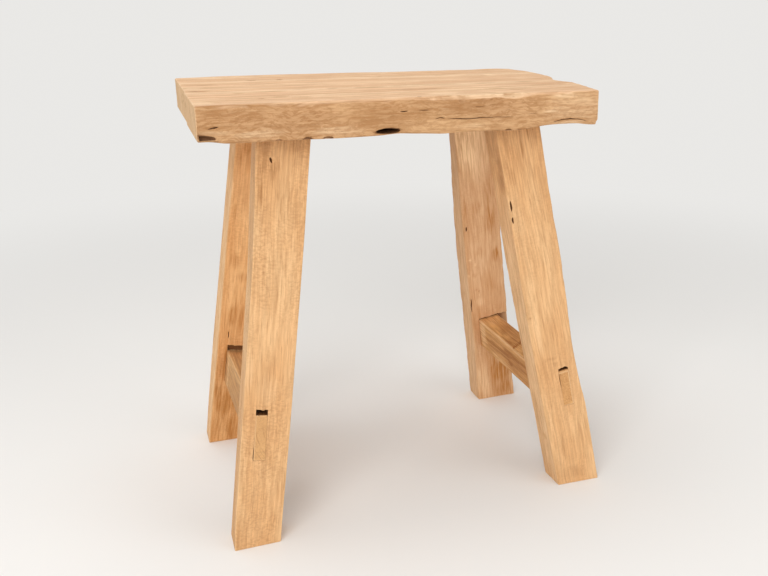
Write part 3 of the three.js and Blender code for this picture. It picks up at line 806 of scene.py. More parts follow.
# Darker places (over 0) and paler ones (under 0) on a leg's front (across, up) and on its left
# side (front to back, up): centre, two reaches and strength. Most are stains and paler wood; a few
# rows are painted light and painted shade, as noted above them.
LEG_MARKS = {
    ("front", "left"): {
        "front": [
            (-21, 399, 3, 14.8, 0.85), (-21, 427, 3, 9, 0.5), (-21, 443, 4, 6.2, 0.35),
            (-9, 421, 3, 11.3, 0.55), (-3, 427, 2, 6.8, 0.35), (-2, 396, 2, 6.9, 0.35),
            (4, 394, 1, 5.2, 0.35), (-15, 382, 1, 6.9, 0.4), (-13, 329, 5, 1, 0.5),
            (-14, 321, 4, 1, 0.4), (-13, 314, 3, 1, 0.35), (5, 332, 1, 7, 0.3), (-3, 321, 1, 4.7, 0.3),
            (14, 446, 13, 6.2, 0.25), (-12, 436.4, 2, 1.2, -0.9), (18, 68, 3, 19.7, 0.25),
            (14, 29, 3, 17.9, 0.3), (-23, 203, 5, 22.4, -0.3), (0, 182, 11, 18.9, -0.3),
            (-19, 452, 8, 4.5, 0.3), (13, 376, 10, 23.2, 0.2), (22, 58, 2, 31.7, 0.25),
            (0, 440, 45, 90, 0.2),
        ],
        "left": [
            # The first row below paints light on the upper left side, over the shade that the seat casts
            # there.
            (0, 380, 60, 220, -0.45), (0, 100, 60, 160, -0.15), (15, 230, 5, 400, -0.3),
            (-6, 420, 3, 60, 0.3), (4, 330, 3, 70, 0.3), (-2, 180, 3, 90, 0.3),
        ],
    },
    ("back", "left"): {
        "front": [
            (-15, 423, 5, 12.1, 0.6), (-21, 408, 2, 15, 0.55), (-22, 340, 2, 15.7, 0.6),
            (-12, 403, 3, 16.5, 0.4), (-19, 431, 1, 8, -0.5), (-16, 272, 7, 13.5, 0.55),
            (-4, 249, 7, 9.1, 0.55), (-1, 272, 3, 15.1, 0.5), (-13, 196, 5, 15.8, 0.45),
            (-15, 171, 3, 4.3, 0.6), (-1, 188, 4, 21.3, 0.5), (-14, 194, 11, 19.6, 0.3),
            (-9, 62, 15, 21.3, 0.7), (1, 19, 9, 22, 0.6), (-17, 25, 7, 21.8, 0.3),
            (-22, 82, 6, 11.3, 0.5), (-4, 344, 2, 28.8, -0.35), (-28, 362, 2, 28.2, -0.35),
            (0, 130, 60, 240, 0.08), (0, 50, 60, 90, 0.22), (0, 420, 45, 120, -0.2),
            # Painted shadow: a dark line in the gap beside the left stretcher, where it enters this leg.
            (-15.8, 118, 1.6, 26, 1.1),
        ],
        "left": [(0, 230, 60, 700, -0.9)],
    },
    ("front", "right"): {
        "front": [
            (1, 430, 1, 15.6, 0.65), (11, 446, 1, 9.1, 0.5), (2, 456, 1, 6.4, 0.5),
            (-16, 398, 5, 10.5, 0.35), (5, 369, 1, 21.3, 0.4), (12, 359, 1, 20.1, 0.3),
            (-29, 300, 2, 20.4, -0.4), (-20, 333, 2, 26.9, 0.3), (-25, 223, 2, 2, 0.7),
            (-8, 169, 9, 1.5, 0.4), (-2, 161, 6, 1.4, 0.35), (-14, 166, 2, 1, 0.5),
            (-4, 15, 20, 9.1, 0.3), (-11, 53, 5, 21.5, 0.25), (16, 63, 4, 28.8, 0.25),
            (-19, 201, 5, 34, -0.3), (24, 198, 2, 34.4, 0.25), (24, 389, 2, 40, 0.25),
            (0, 440, 45, 80, 0.3), (0, 270, 50, 150, 0.07),
        ],
        "left": [
            (-7, 389, 12, 15.8, 0.65), (-10, 411, 7, 8.4, 0.5), (-10, 198, 11, 14.1, 0.45),
            (-4, 62, 7, 4.3, 0.6), (7, 95, 12, 26.3, 0.3), (8, 242, 14, 29.6, 0.3),
            (-7, 276, 11, 23.7, 0.3), (0, 180, 40, 240, -0.85), (0, 430, 40, 60, 0.3),
        ],
    },
    ("back", "right"): {
        "front": [
            (25, 412, 13, 23.9, 0.35), (16, 403, 2, 14.4, 0.35), (-24, 318, 2, 20.3, 0.75),
            (-7, 318, 8, 11.8, 0.35), (10, 297, 10, 20.7, 0.35), (16, 243, 6, 10.8, 0.6),
            (-6, 250, 8, 11, 0.3), (8, 196, 2, 11.4, 0.55), (19, 249, 3, 10.1, 0.55),
            (-18, 214, 5, 4.2, 0.4), (-17, 191, 1, 1.1, 0.8), (-14, 188, 1, 1, 0.7),
            (-30, 162, 1, 1.9, 0.95), (-23, 239, 2, 2.4, -0.95), (-27, 214, 2, 2.4, -0.95),
            (-16, 231, 1, 2, -0.7), (-14, 182, 1, 2.7, -0.6), (-14, 170, 8, 8.7, -0.45),
            (19, 188, 1, 12.5, 0.5), (7, 49, 18, 19.7, 0.5), (16, 16, 14, 12.6, 0.35),
            (-22, 36, 2, 14.8, 0.6), (-21, 405, 10, 25.4, -0.35), (-34, 342, 6, 33.3, -0.3),
            (-30, 95, 6, 28.5, -0.35), (12, 45, 30, 90, 0.6), (-10, 430, 19, 80, -0.9),
            # The first row below paints light across the top of the leg, over the shade under the seat.
            (0, 425, 45, 60, -0.6), (14, 330, 10, 60, 0.4), (-19, 30, 13, 34, -0.6),
            (0, 260, 60, 90, 0.12),
        ],
        "left": [(0, 230, 60, 700, -0.6)],
    },
}
# The height of the legs' tops, which stand 2.6 mm into the seat's uneven underside
LEG_TOP = UNDERSIDE + 2.6 * MM
LEG_SPACING = (2.0 * MM, 2.2 * MM, 2.2 * MM)  # of a leg's grid across, through and along it


def leg_half_width(up):
    """Half a leg's width, which runs straight from the foot (0) to the shoulder (1)."""
    s = sizes()
    return (s.leg_width_foot + (s.leg_width_top - s.leg_width_foot) * up) / 2


def leg_shift(x, y, height, side, end):
    """How far places in a leg go to the right: its four edges' amounts at that height, each by its
    share of the place in the section."""
    half = leg_half_width(height / UNDERSIDE)
    right = np.clip(0.5 + x / half / 2, 0, 1)
    back = np.clip(0.5 + y / sizes().leg_thickness, 0, 1)
    shares = ((1 - right) * back, (1 - right) * (1 - back), right * (1 - back), right * back)
    rows = LEG_EDGES[end, side]
    tables = [[(row[0], row[k + 1]) for row in rows] for k in range(4)]
    return sum(share * down_length(table, height) for share, table in zip(shares, tables))


def leg_stains_and_painted_light(local, height, across, through, side, end):
    """The leg's marks on its front and its left side, with edges frayed along the grain: stains and paler
    wood, and a few rows of painted light and shade.
    """
    fray = fractal(local, (4 * MM, 4 * MM, 24 * MM), LEGS[end, side]["seed"] + 6, 2)
    marks = LEG_MARKS[end, side]
    on_front = smooth(2.4 * MM, 0.9 * MM, through) * (local[:, 1] < 0)
    on_left = smooth(2.4 * MM, 0.9 * MM, across) * (local[:, 0] < 0) * (1 - on_front)
    stains = ovals(local[:, 0], height, marks["front"], fray) * on_front
    stains += ovals(local[:, 1], height, marks["left"], fray) * on_left
    return np.maximum(stains, 0.6 * stains)


def leg_skin(end, side, place):
    """A leg's points and quads: a block with planed faces and worn arrises, widened towards the top
    and bent by its edges' amounts. Each point then slides along the leg until it stands at its
    height, so that the foot and the shoulders are level."""
    s = sizes()
    seed, wear = LEGS[end, side]["seed"], LEGS[end, side]["wear"]
    half = np.array([s.leg_width_foot, s.leg_thickness]) / 2
    easing = (s.leg_arris, s.leg_arris, 0.8 * MM)
    axes = [
        ruled(-half[0], half[0], LEG_SPACING[0], easing[0]),
        ruled(-half[1], half[1], LEG_SPACING[1], easing[1]),
        ruled(0, LEG_TOP, LEG_SPACING[2], easing[2], 1),
    ]
    points, outward, faces = eased_block(axes, easing)
    planed = fractal(points, (40 * MM, 40 * MM, 95 * MM), seed, 2)
    ridges = fractal(points, (4.5 * MM, 4.5 * MM, 60 * MM), seed + 1, 2)
    sunk = np.maximum(0.2 + 0.3 * planed + 0.12 * ridges, 0) * MM
    sunk *= smooth(0, 6 * MM, points[:, 2]) * 0.7 + 0.3
    points[:, :2] -= outward[:, :2] * sunk[:, None]
    nicks = fractal(points, (90 * MM, 90 * MM, 16 * MM), seed + 2, 3)
    wear_arrises(points, half, (0.35 + 0.7 * wear + (0.4 + 0.8 * wear) * nicks) * MM)
    height = points[:, 2].copy()
    points[:, 0] *= leg_half_width(height / LEG_TOP) / half[0]
    points[:, 0] += leg_shift(*points.T, side, end)
    rise = place[2]
    points[:, 2] = (height - rise[3] - rise[0] * points[:, 0] - rise[1] * points[:, 1]) / rise[2]
    return carried(place, points), faces


def leg_fissures(end, side, place):
    """A leg's fissures in metres, as (path, outward, width, depth, darkness)."""
    front_y = 0.5 * MM - sizes().leg_thickness / 2
    specs = []
    for path, width, depth in LEG_FISSURES[end, side]:
        line = carried(place, np.array([(x * MM, front_y, z * MM) for x, z in path]))
        specs.append(([tuple(point) for point in line], tuple(-place[:3, 1]), width * MM, depth * MM, 1))
    return specs


def mark_leg(leg, end, side, place, fissures):
    """Marks a leg's low places, arrises, painted shade in its housing walls and fissures, and its stains
    with painted light and shade for its material.
    """
    places = places_of(leg)
    height = places[:, 2]
    local = carried(np.linalg.inv(place), places)
    unshifted = local[:, 0] - leg_shift(*local[:, :2].T, height, side, end)
    across = leg_half_width(height / LEG_TOP) - np.abs(unshifted)
    through = sizes().leg_thickness / 2 - np.abs(local[:, 1])
    low = 0.5 + 0.5 * fractal(local, (10 * MM, 10 * MM, 40 * MM), LEGS[end, side]["seed"] + 4, 3)
    hollow = np.maximum(housing_share(side, end, places, local), fissure_darkness(places, fissures))
    skin_marks(leg, (across, through, height), 2, low, hollow=hollow)
    mark_stains_and_light(leg, leg_stains_and_painted_light(local, height, across, through, side, end))


def build_leg(end, side):
    """A leg, planed, with the stretcher's housing and mortise and its own fissures cut, and marked."""
    place = leg_place(SIDES[side], ENDS[end])
    leg = new_piece(f"leg_{end}_{side}_planed", *leg_skin(end, side, place))
    fissures = leg_fissures(end, side, place)
    cut_out(leg, housing_cutter(side, end), careful=(end, side) in HOUSING_OVERRUN)
    cut_out(leg, fissure_cutter("leg fissure cutter", fissures))
    mark_leg(leg, end, side, place, fissures)
    finish_piece(leg, f"leg_{end}_{side}", leg_material(end, side))


# The stretchers, and the housings and mortises that they need

STRETCHERS = {
    -1: {"height": 53 * MM, "front_middle": 127.5 * MM, "back_middle": 117.1 * MM, "seed": 311},
    1: {"height": 44.8 * MM, "front_middle": 127.3 * MM, "back_middle": 121.3 * MM, "seed": 347},
}
# How much taller than the stretcher a housing is, and a mortise where it differs from its housing
HEADROOM = {
    ("front", "left"): 6.3 * MM,
    ("front", "right"): 6 * MM,
    ("back", "left"): 8.4 * MM,
    ("back", "right"): 1.8 * MM,
}
MORTISE_HEADROOM = {("back", "left"): 0.8 * MM}
# How far a housing runs on past the stretcher's outer face, and how much painted shade its walls get inside
HOUSING_OVERRUN = {("back", "right"): 16 * MM}
HOUSING_SHADE = {("back", "left"): 0.1, ("back", "right"): 0.3}
# Where a mortise's outer (1) or inner (-1) wall is cut too wide: height above the stretcher's middle,
# and how far
LOOSE_WALL = {("front", "left"): (1, -20 * MM, 0.9 * MM), ("front", "right"): (-1, 15 * MM, 0.8 * MM)}
# How far the front and the back end of a stretcher stand to the right of its line
STRETCHER_DRIFT = {-1: (1.3 * MM, -1.3 * MM), 1: (0, 0)}
# How far the underside stands above its line and the top below it, at the front and the back end
STRETCHER_TAPER = {-1: ((0, 0), (5 * MM, 2 * MM)), 1: ((0, 0), (0, 0))}
# How much taller than the stretcher its front tenon is
TENON_RISE = {-1: 0, 1: 2.4 * MM}
# Darker places (over 0) and paler ones (under 0) on a stretcher's left face (along, up) and top
# (across, along), and how dark the ends of its tenons are
STRETCHER_MARKS = {
    -1: {"left": [(82, 0, 8, 30, -0.6), (20, 0, 70, 40, 0.2)], "top": [(0, 0, 30, 160, 0.8)], "end": 0.1},
    1: {
        "left": [
            (64, -1, 24, 4, 0.8), (38, 2, 24, 2.4, 1.6), (14, 1.6, 28, 2.6, 1.8),
            (-20, 6.5, 30, 3, 1.8), (-52, 9, 24, 3, 1.5), (-11, -7, 7, 3, 1.8), (52, -7, 22, 2.2, 0.8),
            (10, -4, 40, 1.8, 0.9), (-30, -1, 60, 14, 0.4), (92, 6, 16, 30, -0.8),
            (20, 11, 60, 1.8, 0.5), (0, 20.6, 120, 2, -0.8), (30, -17, 40, 4, -0.5),
        ],
        "top": [
            (-7, 47, 13, 27.2, 0.2), (8, 53, 12, 27.3, 0.2), (-9, -5, 8, 17, 0.5),
            (-10, -37, 7, 12.4, -0.4), (0, 0, 40, 60, 0.35), (0, 80, 40, 30, -0.3),
            (-15, -25, 4, 2.4, 1.2), (-10, -21.3, 4, 2.4, 1.2), (-5, -17.7, 4, 2.4, 1.2),
            (0, -14, 4, 2.4, 1.2), (5, -10.3, 4, 2.4, 1.2), (10, -6.7, 4, 2.4, 1.2),
        ],
        "end": 0.25,
    },
}
FIT = 0.06 * MM  # the clearance all round in a joint
SHOULDER_GAP = 0.3 * MM  # between a shoulder and its housing's floor
TENON_RECESS = 0.3 * MM  # how far a tenon's end stands back from the leg's face
CUTTER_OVERRUN = 12 * MM  # how far a cutter stands out of the leg on both sides
CHISELLED = 1.5 * MM  # how rough a housing's top is
LOOSE_MARGIN = 1.1 * MM  # past the loosest wall of a mortise
STRETCHER_SPACING = 2 * MM  # of a stretcher's grid across and through it
STRETCHER_ARRIS = 1.2 * MM
# The stray saw cut in the right stretcher: its depth, its start from the middle and its slant
SAW_DEPTH, SAW_START, SAW_SLANT = 1.4 * MM, -14 * MM, math.radians(36)


def leg_plane(side, end, from_inner_face, x, z):
    """Where along the stretcher's Y the plane across a leg lies, for each place in its section. The
    plane keeps one Y in the leg's frame, so it is one row of the change of frame, solved for Y."""
    change = np.linalg.inv(leg_place(side, end)) @ stretcher_place(side)
    row = change[1]
    target = end * (from_inner_face - sizes().leg_thickness / 2)
    return (target - row[3] - row[0] * x - row[2] * z) / row[1]


def bar(side, stations, counts, arris, spacing):
    """A bar carried along a stretcher's line. Each station is a leg's end, a distance from its inner
    face and a section (outer, inner, low, high); between stations all of these run straight, in as
    many steps as the counts say."""
    run = np.concatenate([np.linspace(k, k + 1, n + 1)[1:] for k, n in enumerate(counts)])
    run = np.concatenate([[0], run])
    widest = np.array([section for _, _, section in stations])
    outer, inner = widest[:, 0].max(), widest[:, 1].min()
    low, high = widest[:, 2].min(), widest[:, 3].max()
    axes = [ruled(inner, outer, spacing, arris), run, ruled(low, high, spacing, arris)]
    points, outward, faces = eased_block(axes, (arris, 1e-6, arris))
    along = np.clip(points[:, 1], 0, len(stations) - 1)
    share_x = (points[:, 0] - inner) / (outer - inner)
    share_z = (points[:, 2] - low) / (high - low)
    limits = [np.interp(along, np.arange(len(stations)), widest[:, k]) for k in range(4)]
    x = side * (limits[1] + share_x * (limits[0] - limits[1]))
    z = limits[2] + share_z * (limits[3] - limits[2])
    planes = np.stack([leg_plane(side, end, gap, x, z) for end, gap, _ in stations], -1)
    lower = np.clip(np.floor(along).astype(int), 0, len(stations) - 2)
    rows = np.arange(len(points))
    part = along - lower
    y = planes[rows, lower] * (1 - part) + planes[rows, lower + 1] * part
    if side < 0:
        faces = faces[:, ::-1]
        outward = outward * (-1, 1, 1)
    return np.stack([x, y, z], -1), outward, faces


def section(side, end, thickness, grow=0, headroom=0, overrun=0):
    """The limits of a section at one end: outer and inner faces, underside and top."""
    outset = sizes().stretcher_outset + side * STRETCHER_DRIFT[side][end > 0]
    half = STRETCHERS[side]["height"] / 2
    raised, lowered = STRETCHER_TAPER[side][end > 0]
    outer, inner = outset + grow + overrun, outset - thickness - grow
    return outer, inner, raised - half - grow, half - lowered + headroom


def housing_cutter(side_name, end_name):
    """What a stretcher takes out of a leg: a housing as wide as the bar and, from its floor, a
    mortise as wide as the tenon. Noise roughens its top as a chisel leaves it, and one wall may
    bulge by its slack times exp(-(height / 9 mm)^2)."""
    s = sizes()
    side, end = SIDES[side_name], ENDS[end_name]
    headroom = HEADROOM[end_name, side_name]
    overrun = HOUSING_OVERRUN.get((end_name, side_name), 0)
    wide = section(side, end, s.stretcher_thickness, FIT, headroom, overrun)
    mortise_headroom = MORTISE_HEADROOM.get((end_name, side_name), headroom)
    slim = section(side, end, s.stretcher_tenon, FIT, mortise_headroom)
    stations = [
        (end, -CUTTER_OVERRUN, wide),
        (end, s.stretcher_housing, wide),
        (end, s.stretcher_housing, slim),
        (end, s.leg_thickness + CUTTER_OVERRUN, slim),
    ]
    points, _, faces = bar(side, stations, (6, 1, 20), arris=0.25 * MM, spacing=2.2 * MM)
    if end < 0:
        faces = faces[:, ::-1]
    seed = LEGS[end_name, side_name]["seed"] + 9
    low, high = wide[2:]
    share = (points[:, 2] - low) / (high - low)
    flat = points * (1, 1, 0)
    points[:, 2] += share**4 * CHISELLED * fractal(flat, (4.5 * MM,) * 3, seed, 2)
    wall, middle, slack = LOOSE_WALL.get((end_name, side_name), (1, 0, 0))
    outer_share = np.clip((points[:, 0] * side - slim[1]) / (slim[0] - slim[1]), 0, 1)
    share = outer_share if wall > 0 else 1 - outer_share
    points[:, 0] += wall * side * share**4 * slack * np.exp(-(((points[:, 2] - middle) / (9 * MM)) ** 2))
    return new_piece("housing cutter", carried(stretcher_place(side), points), faces)


def housing_share(side_name, end_name, places, local):
    """How much painted shade the walls of a joint get: that shade where a place lies in the housing's
    section, no deeper than its floor, or in the mortise's, fading out at the two rims."""
    s = sizes()
    side, end = SIDES[side_name], ENDS[end_name]
    x, _, z = carried(np.linalg.inv(stretcher_place(side)), places).T
    let_in = s.leg_thickness / 2 + end * local[:, 1]
    past_outer = HOUSING_OVERRUN.get((end_name, side_name), 0)
    cuts = [
        (s.stretcher_thickness, 0.3 * MM, past_outer, s.stretcher_housing),
        (s.stretcher_tenon, LOOSE_MARGIN, 0, s.leg_thickness),
    ]
    within = np.zeros(len(x), bool)
    headroom = HEADROOM[end_name, side_name] + CHISELLED
    for thickness, grow, overrun, depth in cuts:
        outer, inner, low, high = section(side, end, thickness, grow, headroom, overrun)
        in_section = (side * x < outer) & (side * x > inner) & (z > low) & (z < high)
        within |= in_section & (let_in < depth + 0.4 * MM)
    dark = HOUSING_SHADE.get((end_name, side_name), 0.8)
    rims = smooth(0.6 * MM, 2.5 * MM, let_in) * smooth(0.2 * MM, 3 * MM, s.leg_thickness - let_in)
    return dark * within * rims


def saw_step_cutter():
    """The slab that a stray saw cut took off the front end of the right stretcher's top: a block that
    lies in front of the cut's slanted line, with a floor that noise makes rough."""
    top = STRETCHERS[1]["height"] / 2
    axes = [np.linspace(-60, 60, 30) * MM, np.linspace(-88, 0, 24) * MM, np.array([-SAW_DEPTH, 5 * MM])]
    places, faces = welded_grids([len(axis) - 1 for axis in axes])
    points = np.stack([axis[places[:, k]] for k, axis in enumerate(axes)], -1)
    points[:, 2] += np.where(points[:, 2] < 0, 0.25 * MM * fractal(points, (7 * MM,) * 3, 5, 2), 0)
    points = carried(shifted(0, SAW_START, top) @ turned(SAW_SLANT, "Z"), points)
    return new_piece("saw cutter", carried(stretcher_place(1), points), faces)


def shoulder_planes(side, points):
    """Where along the stretcher its front and back shoulders lie, for each point's section place."""
    depth = sizes().stretcher_housing - SHOULDER_GAP
    return [leg_plane(side, end, depth, points[:, 0], points[:, 2]) for end in (-1, 1)]


def stretcher_skin(side):
    """A stretcher's points and quads in its own frame: tenon, shoulder, bar, shoulder and tenon, with
    the bar's faces sunk by noise between the shoulders."""
    s = sizes()
    seed = STRETCHERS[side]["seed"]
    shoulder = s.stretcher_housing - SHOULDER_GAP
    tenon_end = s.leg_thickness - TENON_RECESS
    front, back = (section(side, end, s.stretcher_thickness) for end in (-1, 1))
    front_tenon = section(side, -1, s.stretcher_tenon, headroom=TENON_RISE[side])
    back_tenon = section(side, 1, s.stretcher_tenon)
    stations = [
        (-1, tenon_end, front_tenon),
        (-1, shoulder, front_tenon),
        (-1, shoulder, front),
        (1, shoulder, back),
        (1, shoulder, back_tenon),
        (1, tenon_end, back_tenon),
    ]
    counts = (14, 1, 90, 1, 14)
    points, outward, faces = bar(side, stations, counts, STRETCHER_ARRIS, STRETCHER_SPACING)
    sawn = fractal(points, (30 * MM, 60 * MM, 30 * MM), seed, 2)
    ridges = fractal(points, (3.5 * MM, 45 * MM, 3.5 * MM), seed + 1, 2)
    sunk = np.maximum(0.32 + 0.3 * sawn + 0.22 * ridges, 0) * MM
    planes = shoulder_planes(side, points)
    in_joint = np.maximum(planes[0] - points[:, 1], points[:, 1] - planes[1])
    points -= outward * (1, 0, 1) * (sunk * smooth(2 * MM, -6 * MM, in_joint) + 0.03 * MM)[:, None]
    return points, faces


def mark_stretcher(stretcher, side, place):
    """Marks a stretcher's low places, arrises, painted shade on its hidden tenons, and its stains for its
    material.
    """
    s = sizes()
    seed = STRETCHERS[side]["seed"]
    local = carried(np.linalg.inv(place), places_of(stretcher))
    x, y, z = local.T
    planes = shoulder_planes(side, local)
    share = np.clip((y - planes[0]) / (planes[1] - planes[0]), 0, 1)
    front, back = (section(side, end, s.stretcher_thickness) for end in (-1, 1))
    outer, inner, low, high = (a + share * (b - a) for a, b in zip(front, back))
    left, right = sorted((side * outer, side * inner), key=np.mean)
    across = np.minimum(x - left, right - x)
    through = np.minimum(z - low, high - z)
    reach = [leg_plane(side, end, s.leg_thickness, x, z) for end in (-1, 1)]
    ends = np.minimum(y - reach[0], reach[1] - y)
    worn = 0.5 + 0.5 * fractal(local, (5 * MM, 40 * MM, 5 * MM), seed + 3, 3)
    in_joint = np.maximum(planes[0] - y, y - planes[1])
    # Painted shade on the tenons inside the legs, which shows through the joints' gaps.
    hidden = smooth(0, 5 * MM, in_joint) * smooth(0.4 * MM, 2.5 * MM, ends)
    skin_marks(stretcher, (across, ends, through), 1, worn, hollow=hidden)
    fray = fractal(local, (4 * MM, 24 * MM, 4 * MM), seed + 6, 2)
    on_left = smooth(2.4 * MM, 0.8 * MM, x - left)
    on_top = smooth(2.4 * MM, 0.8 * MM, high - z) * (1 - on_left)
    marks = STRETCHER_MARKS[side]
    stains = ovals(y, z, marks["left"], fray) * on_left + ovals(x, y, marks["top"], fray) * on_top
    mark_stains_and_light(stretcher, stains + marks["end"] * smooth(1.2 * MM, 0.4 * MM, ends))


def build_stretcher(side_name):
    """A stretcher with its tenons, the right one with its saw cut, and marked."""
    side = SIDES[side_name]
    place = stretcher_place(side)
    points, faces = stretcher_skin(side)
    stretcher = new_piece(f"stretcher_{side_name}_sawn", carried(place, points), faces)
    if side > 0:
        cut_out(stretcher, saw_step_cutter(), careful=True)
    mark_stretcher(stretcher, side, place)
    finish_piece(stretcher, f"stretcher_{side_name}", stretcher_material(side_name))


# Nodes of the materials


def add_node(tree, kind, inputs=None, **settings):
    """A new node with its settings, each named input given a value or linked from an output."""
    node = tree.nodes.new(kind)
    for name, value in settings.items():
        setattr(node, name, value)
    for key, value in (inputs or {}).items():
        if isinstance(value, bpy.types.NodeSocket):
            tree.links.new(value, node.inputs[key])
        else:
            node.inputs[key].default_value = value
    return node


def maths(tree, operation, *values):
    """A Math node: its result."""
    return add_node(tree, "ShaderNodeMath", dict(enumerate(values)), operation=operation).outputs[0]


def times(tree, *values):
    """The product of two or more values."""
    product = values[0]
    for value in values[1:]:
        product = maths(tree, "MULTIPLY", product, value)
    return product


def vector_maths(tree, operation, *values, out="Vector"):
    """A Vector Math node: its vector, or another output by name."""
    inputs = dict(enumerate(values))
    return add_node(tree, "ShaderNodeVectorMath", inputs, operation=operation).outputs[out]


def stretched_noise(tree, vector, stretch, scale, detail=2.0, roughness=0.5, out="Fac"):
    """Noise read on a vector that is first multiplied by `stretch`, so it runs long along the grain."""
    scaled = vector_maths(tree, "MULTIPLY", vector, stretch)
    inputs = {"Vector": scaled, "Scale": scale, "Detail": detail, "Roughness": roughness}
    return add_node(tree, "ShaderNodeTexNoise", inputs).outputs[out]


def warped(tree, vector, stretch, scale, amount):
    """The vector, moved by up to half the amount each way by a coloured noise."""
    cloud = stretched_noise(tree, vector, stretch, scale, 2.5, out="Color")
    inputs = {0: vector_maths(tree, "SUBTRACT", cloud, (0.5,) * 3), "Scale": amount}
    drift = add_node(tree, "ShaderNodeVectorMath", inputs, operation="SCALE").outputs[0]
    return vector_maths(tree, "ADD", vector, drift)


def ring_noise(tree, count, scale, detail):
    """Noise of the ring number alone, so that it runs round with the rings."""
    inputs = {"W": count, "Scale": scale, "Detail": detail, "Roughness": 0.6}
    return add_node(tree, "ShaderNodeTexNoise", inputs, noise_dimensions="1D").outputs["Fac"]


def ramp(tree, value, low, high, to_low=0.0, to_high=1.0):
    """Maps a value smoothly from between low and high, and holds it outside them."""
    inputs = {"Value": value, "From Min": low, "From Max": high, "To Min": to_low, "To Max": to_high}
    return add_node(tree, "ShaderNodeMapRange", inputs, interpolation_type="SMOOTHSTEP").outputs["Result"]


def blended(tree, share, first, second):
    """The first colour, with as much of the second as the share says."""
    node = add_node(tree, "ShaderNodeMix", data_type="RGBA")
    for key, value in ((0, share), (6, first), (7, second)):
        if isinstance(value, bpy.types.NodeSocket):
            tree.links.new(value, node.inputs[key])
        else:
            node.inputs[key].default_value = value if key == 0 else (*value, 1)
    return node.outputs[2]


def attribute(tree, name):
    """A number that the piece's vertices carry."""
    return add_node(tree, "ShaderNodeAttribute", attribute_name=name).outputs["Fac"]


def group_sockets(tree, inputs, outputs):
    """Gives a node group its sockets: inputs as (name, kind, default) and outputs as names."""
    for name, kind, default in inputs:
        socket = tree.interface.new_socket(name, in_out="INPUT", socket_type=kind)
        if default is not None:
            socket.default_value = default
    for name in outputs:
        tree.interface.new_socket(name, in_out="OUTPUT", socket_type="NodeSocketFloat")
    return tree.nodes.new("NodeGroupInput").outputs, tree.nodes.new("NodeGroupOutput").inputs


def timber_grain_group():
    """Grain of sawn timber that runs along X. Growth rings are noises of the distance from a pith line
    that wanders, fibres and pores are noises stretched along X, figure is a slow mottling, curl is a
    ripple across the grain and torn is a fibre noise that swirls."""
    name = "Timber grain"
    if name in bpy.data.node_groups:
        return bpy.data.node_groups[name]
    tree = bpy.data.node_groups.new(name, "ShaderNodeTree")
    given, result = group_sockets(
        tree,
        [
            ("Vector", "NodeSocketVector", None),
            ("Pith", "NodeSocketVector", (0, 0, 0)),
            ("Rings per metre", "NodeSocketFloat", 200.0),
            ("Sway", "NodeSocketFloat", 0.03),
        ],
        ["Rings", "Lines", "Fibres", "Pores", "Figure", "Curl", "Torn"],
    )
    vector = given["Vector"]
    swayed = warped(tree, vector, (0.22, 1, 1), 11, given["Sway"])
    across = vector_maths(tree, "SUBTRACT", swayed, given["Pith"])
    across = vector_maths(tree, "MULTIPLY", across, (0, 1, 1))
    radius = vector_maths(tree, "LENGTH", across, out="Value")
    count = maths(tree, "MULTIPLY", radius, given["Rings per metre"])
    tone = ring_noise(tree, count, 0.3, 3.0)
    tree.links.new(ramp(tree, tone, 0.34, 0.66), result["Rings"])
    breaks = ramp(tree, stretched_noise(tree, swayed, (0.1, 1, 1), 60, 2.0), 0.36, 0.6)
    late = ramp(tree, ring_noise(tree, count, 1.3, 1.0), 0.52, 0.72)
    tree.links.new(times(tree, late, breaks), result["Lines"])
    fibres = stretched_noise(tree, swayed, (0.05, 1, 1), 460, 4.0, 0.62)
    tree.links.new(ramp(tree, fibres, 0.37, 0.63), result["Fibres"])
    pores = stretched_noise(tree, swayed, (0.07, 1, 1), 700, 1.0)
    tree.links.new(ramp(tree, pores, 0.6, 0.72), result["Pores"])
    figure = stretched_noise(tree, vector, (0.35, 1, 1), 22, 3.0, 0.55)
    tree.links.new(ramp(tree, figure, 0.33, 0.67), result["Figure"])
    wavy = warped(tree, swayed, (1, 1, 1), 90, 0.008)
    ripple = stretched_noise(tree, wavy, (1, 0.45, 0.45), 480, 1.0, 0.4)
    patch = ramp(tree, stretched_noise(tree, vector, (0.5, 1, 1), 20, 2.0), 0.36, 0.6)
    tree.links.new(times(tree, ramp(tree, ripple, 0.42, 0.62), patch), result["Curl"])
    swirled = warped(tree, vector, (1, 1, 1), 30, 0.02)
    torn = stretched_noise(tree, swirled, (0.24, 1, 1), 380, 4.0, 0.65)
    tree.links.new(ramp(tree, torn, 0.46, 0.57), result["Torn"])
    return tree


def place_group(tree, group, inputs):
    """A node group placed in a material, each input given a value or linked: its outputs."""
    node = tree.nodes.new("ShaderNodeGroup")
    node.node_tree = group
    for key, value in inputs.items():
        if isinstance(value, bpy.types.NodeSocket):
            tree.links.new(value, node.inputs[key])
        else:
            node.inputs[key].default_value = value
    return node.outputs


# Which axes of a piece's own frame run along the grain, across it and through it
GRAIN_ALONG = {
    "X": Matrix.Identity(3),
    "Y": Matrix(((0, 1, 0), (0, 0, 1), (1, 0, 0))),
    "Z": Matrix(((0, 0, 1), (1, 0, 0), (0, 1, 0))),
}


def timber_vector(tree, place, grain):
    """Object coordinates turned by a Mapping node so that X runs along the piece's grain."""
    change = GRAIN_ALONG[grain].to_4x4() @ Matrix(place.tolist()).inverted()
    inputs = {
        "Vector": tree.nodes.new("ShaderNodeTexCoord").outputs["Object"],
        "Location": change.to_translation(),
        "Rotation": change.to_euler("XYZ"),
    }
    return add_node(tree, "ShaderNodeMapping", inputs).outputs["Vector"]


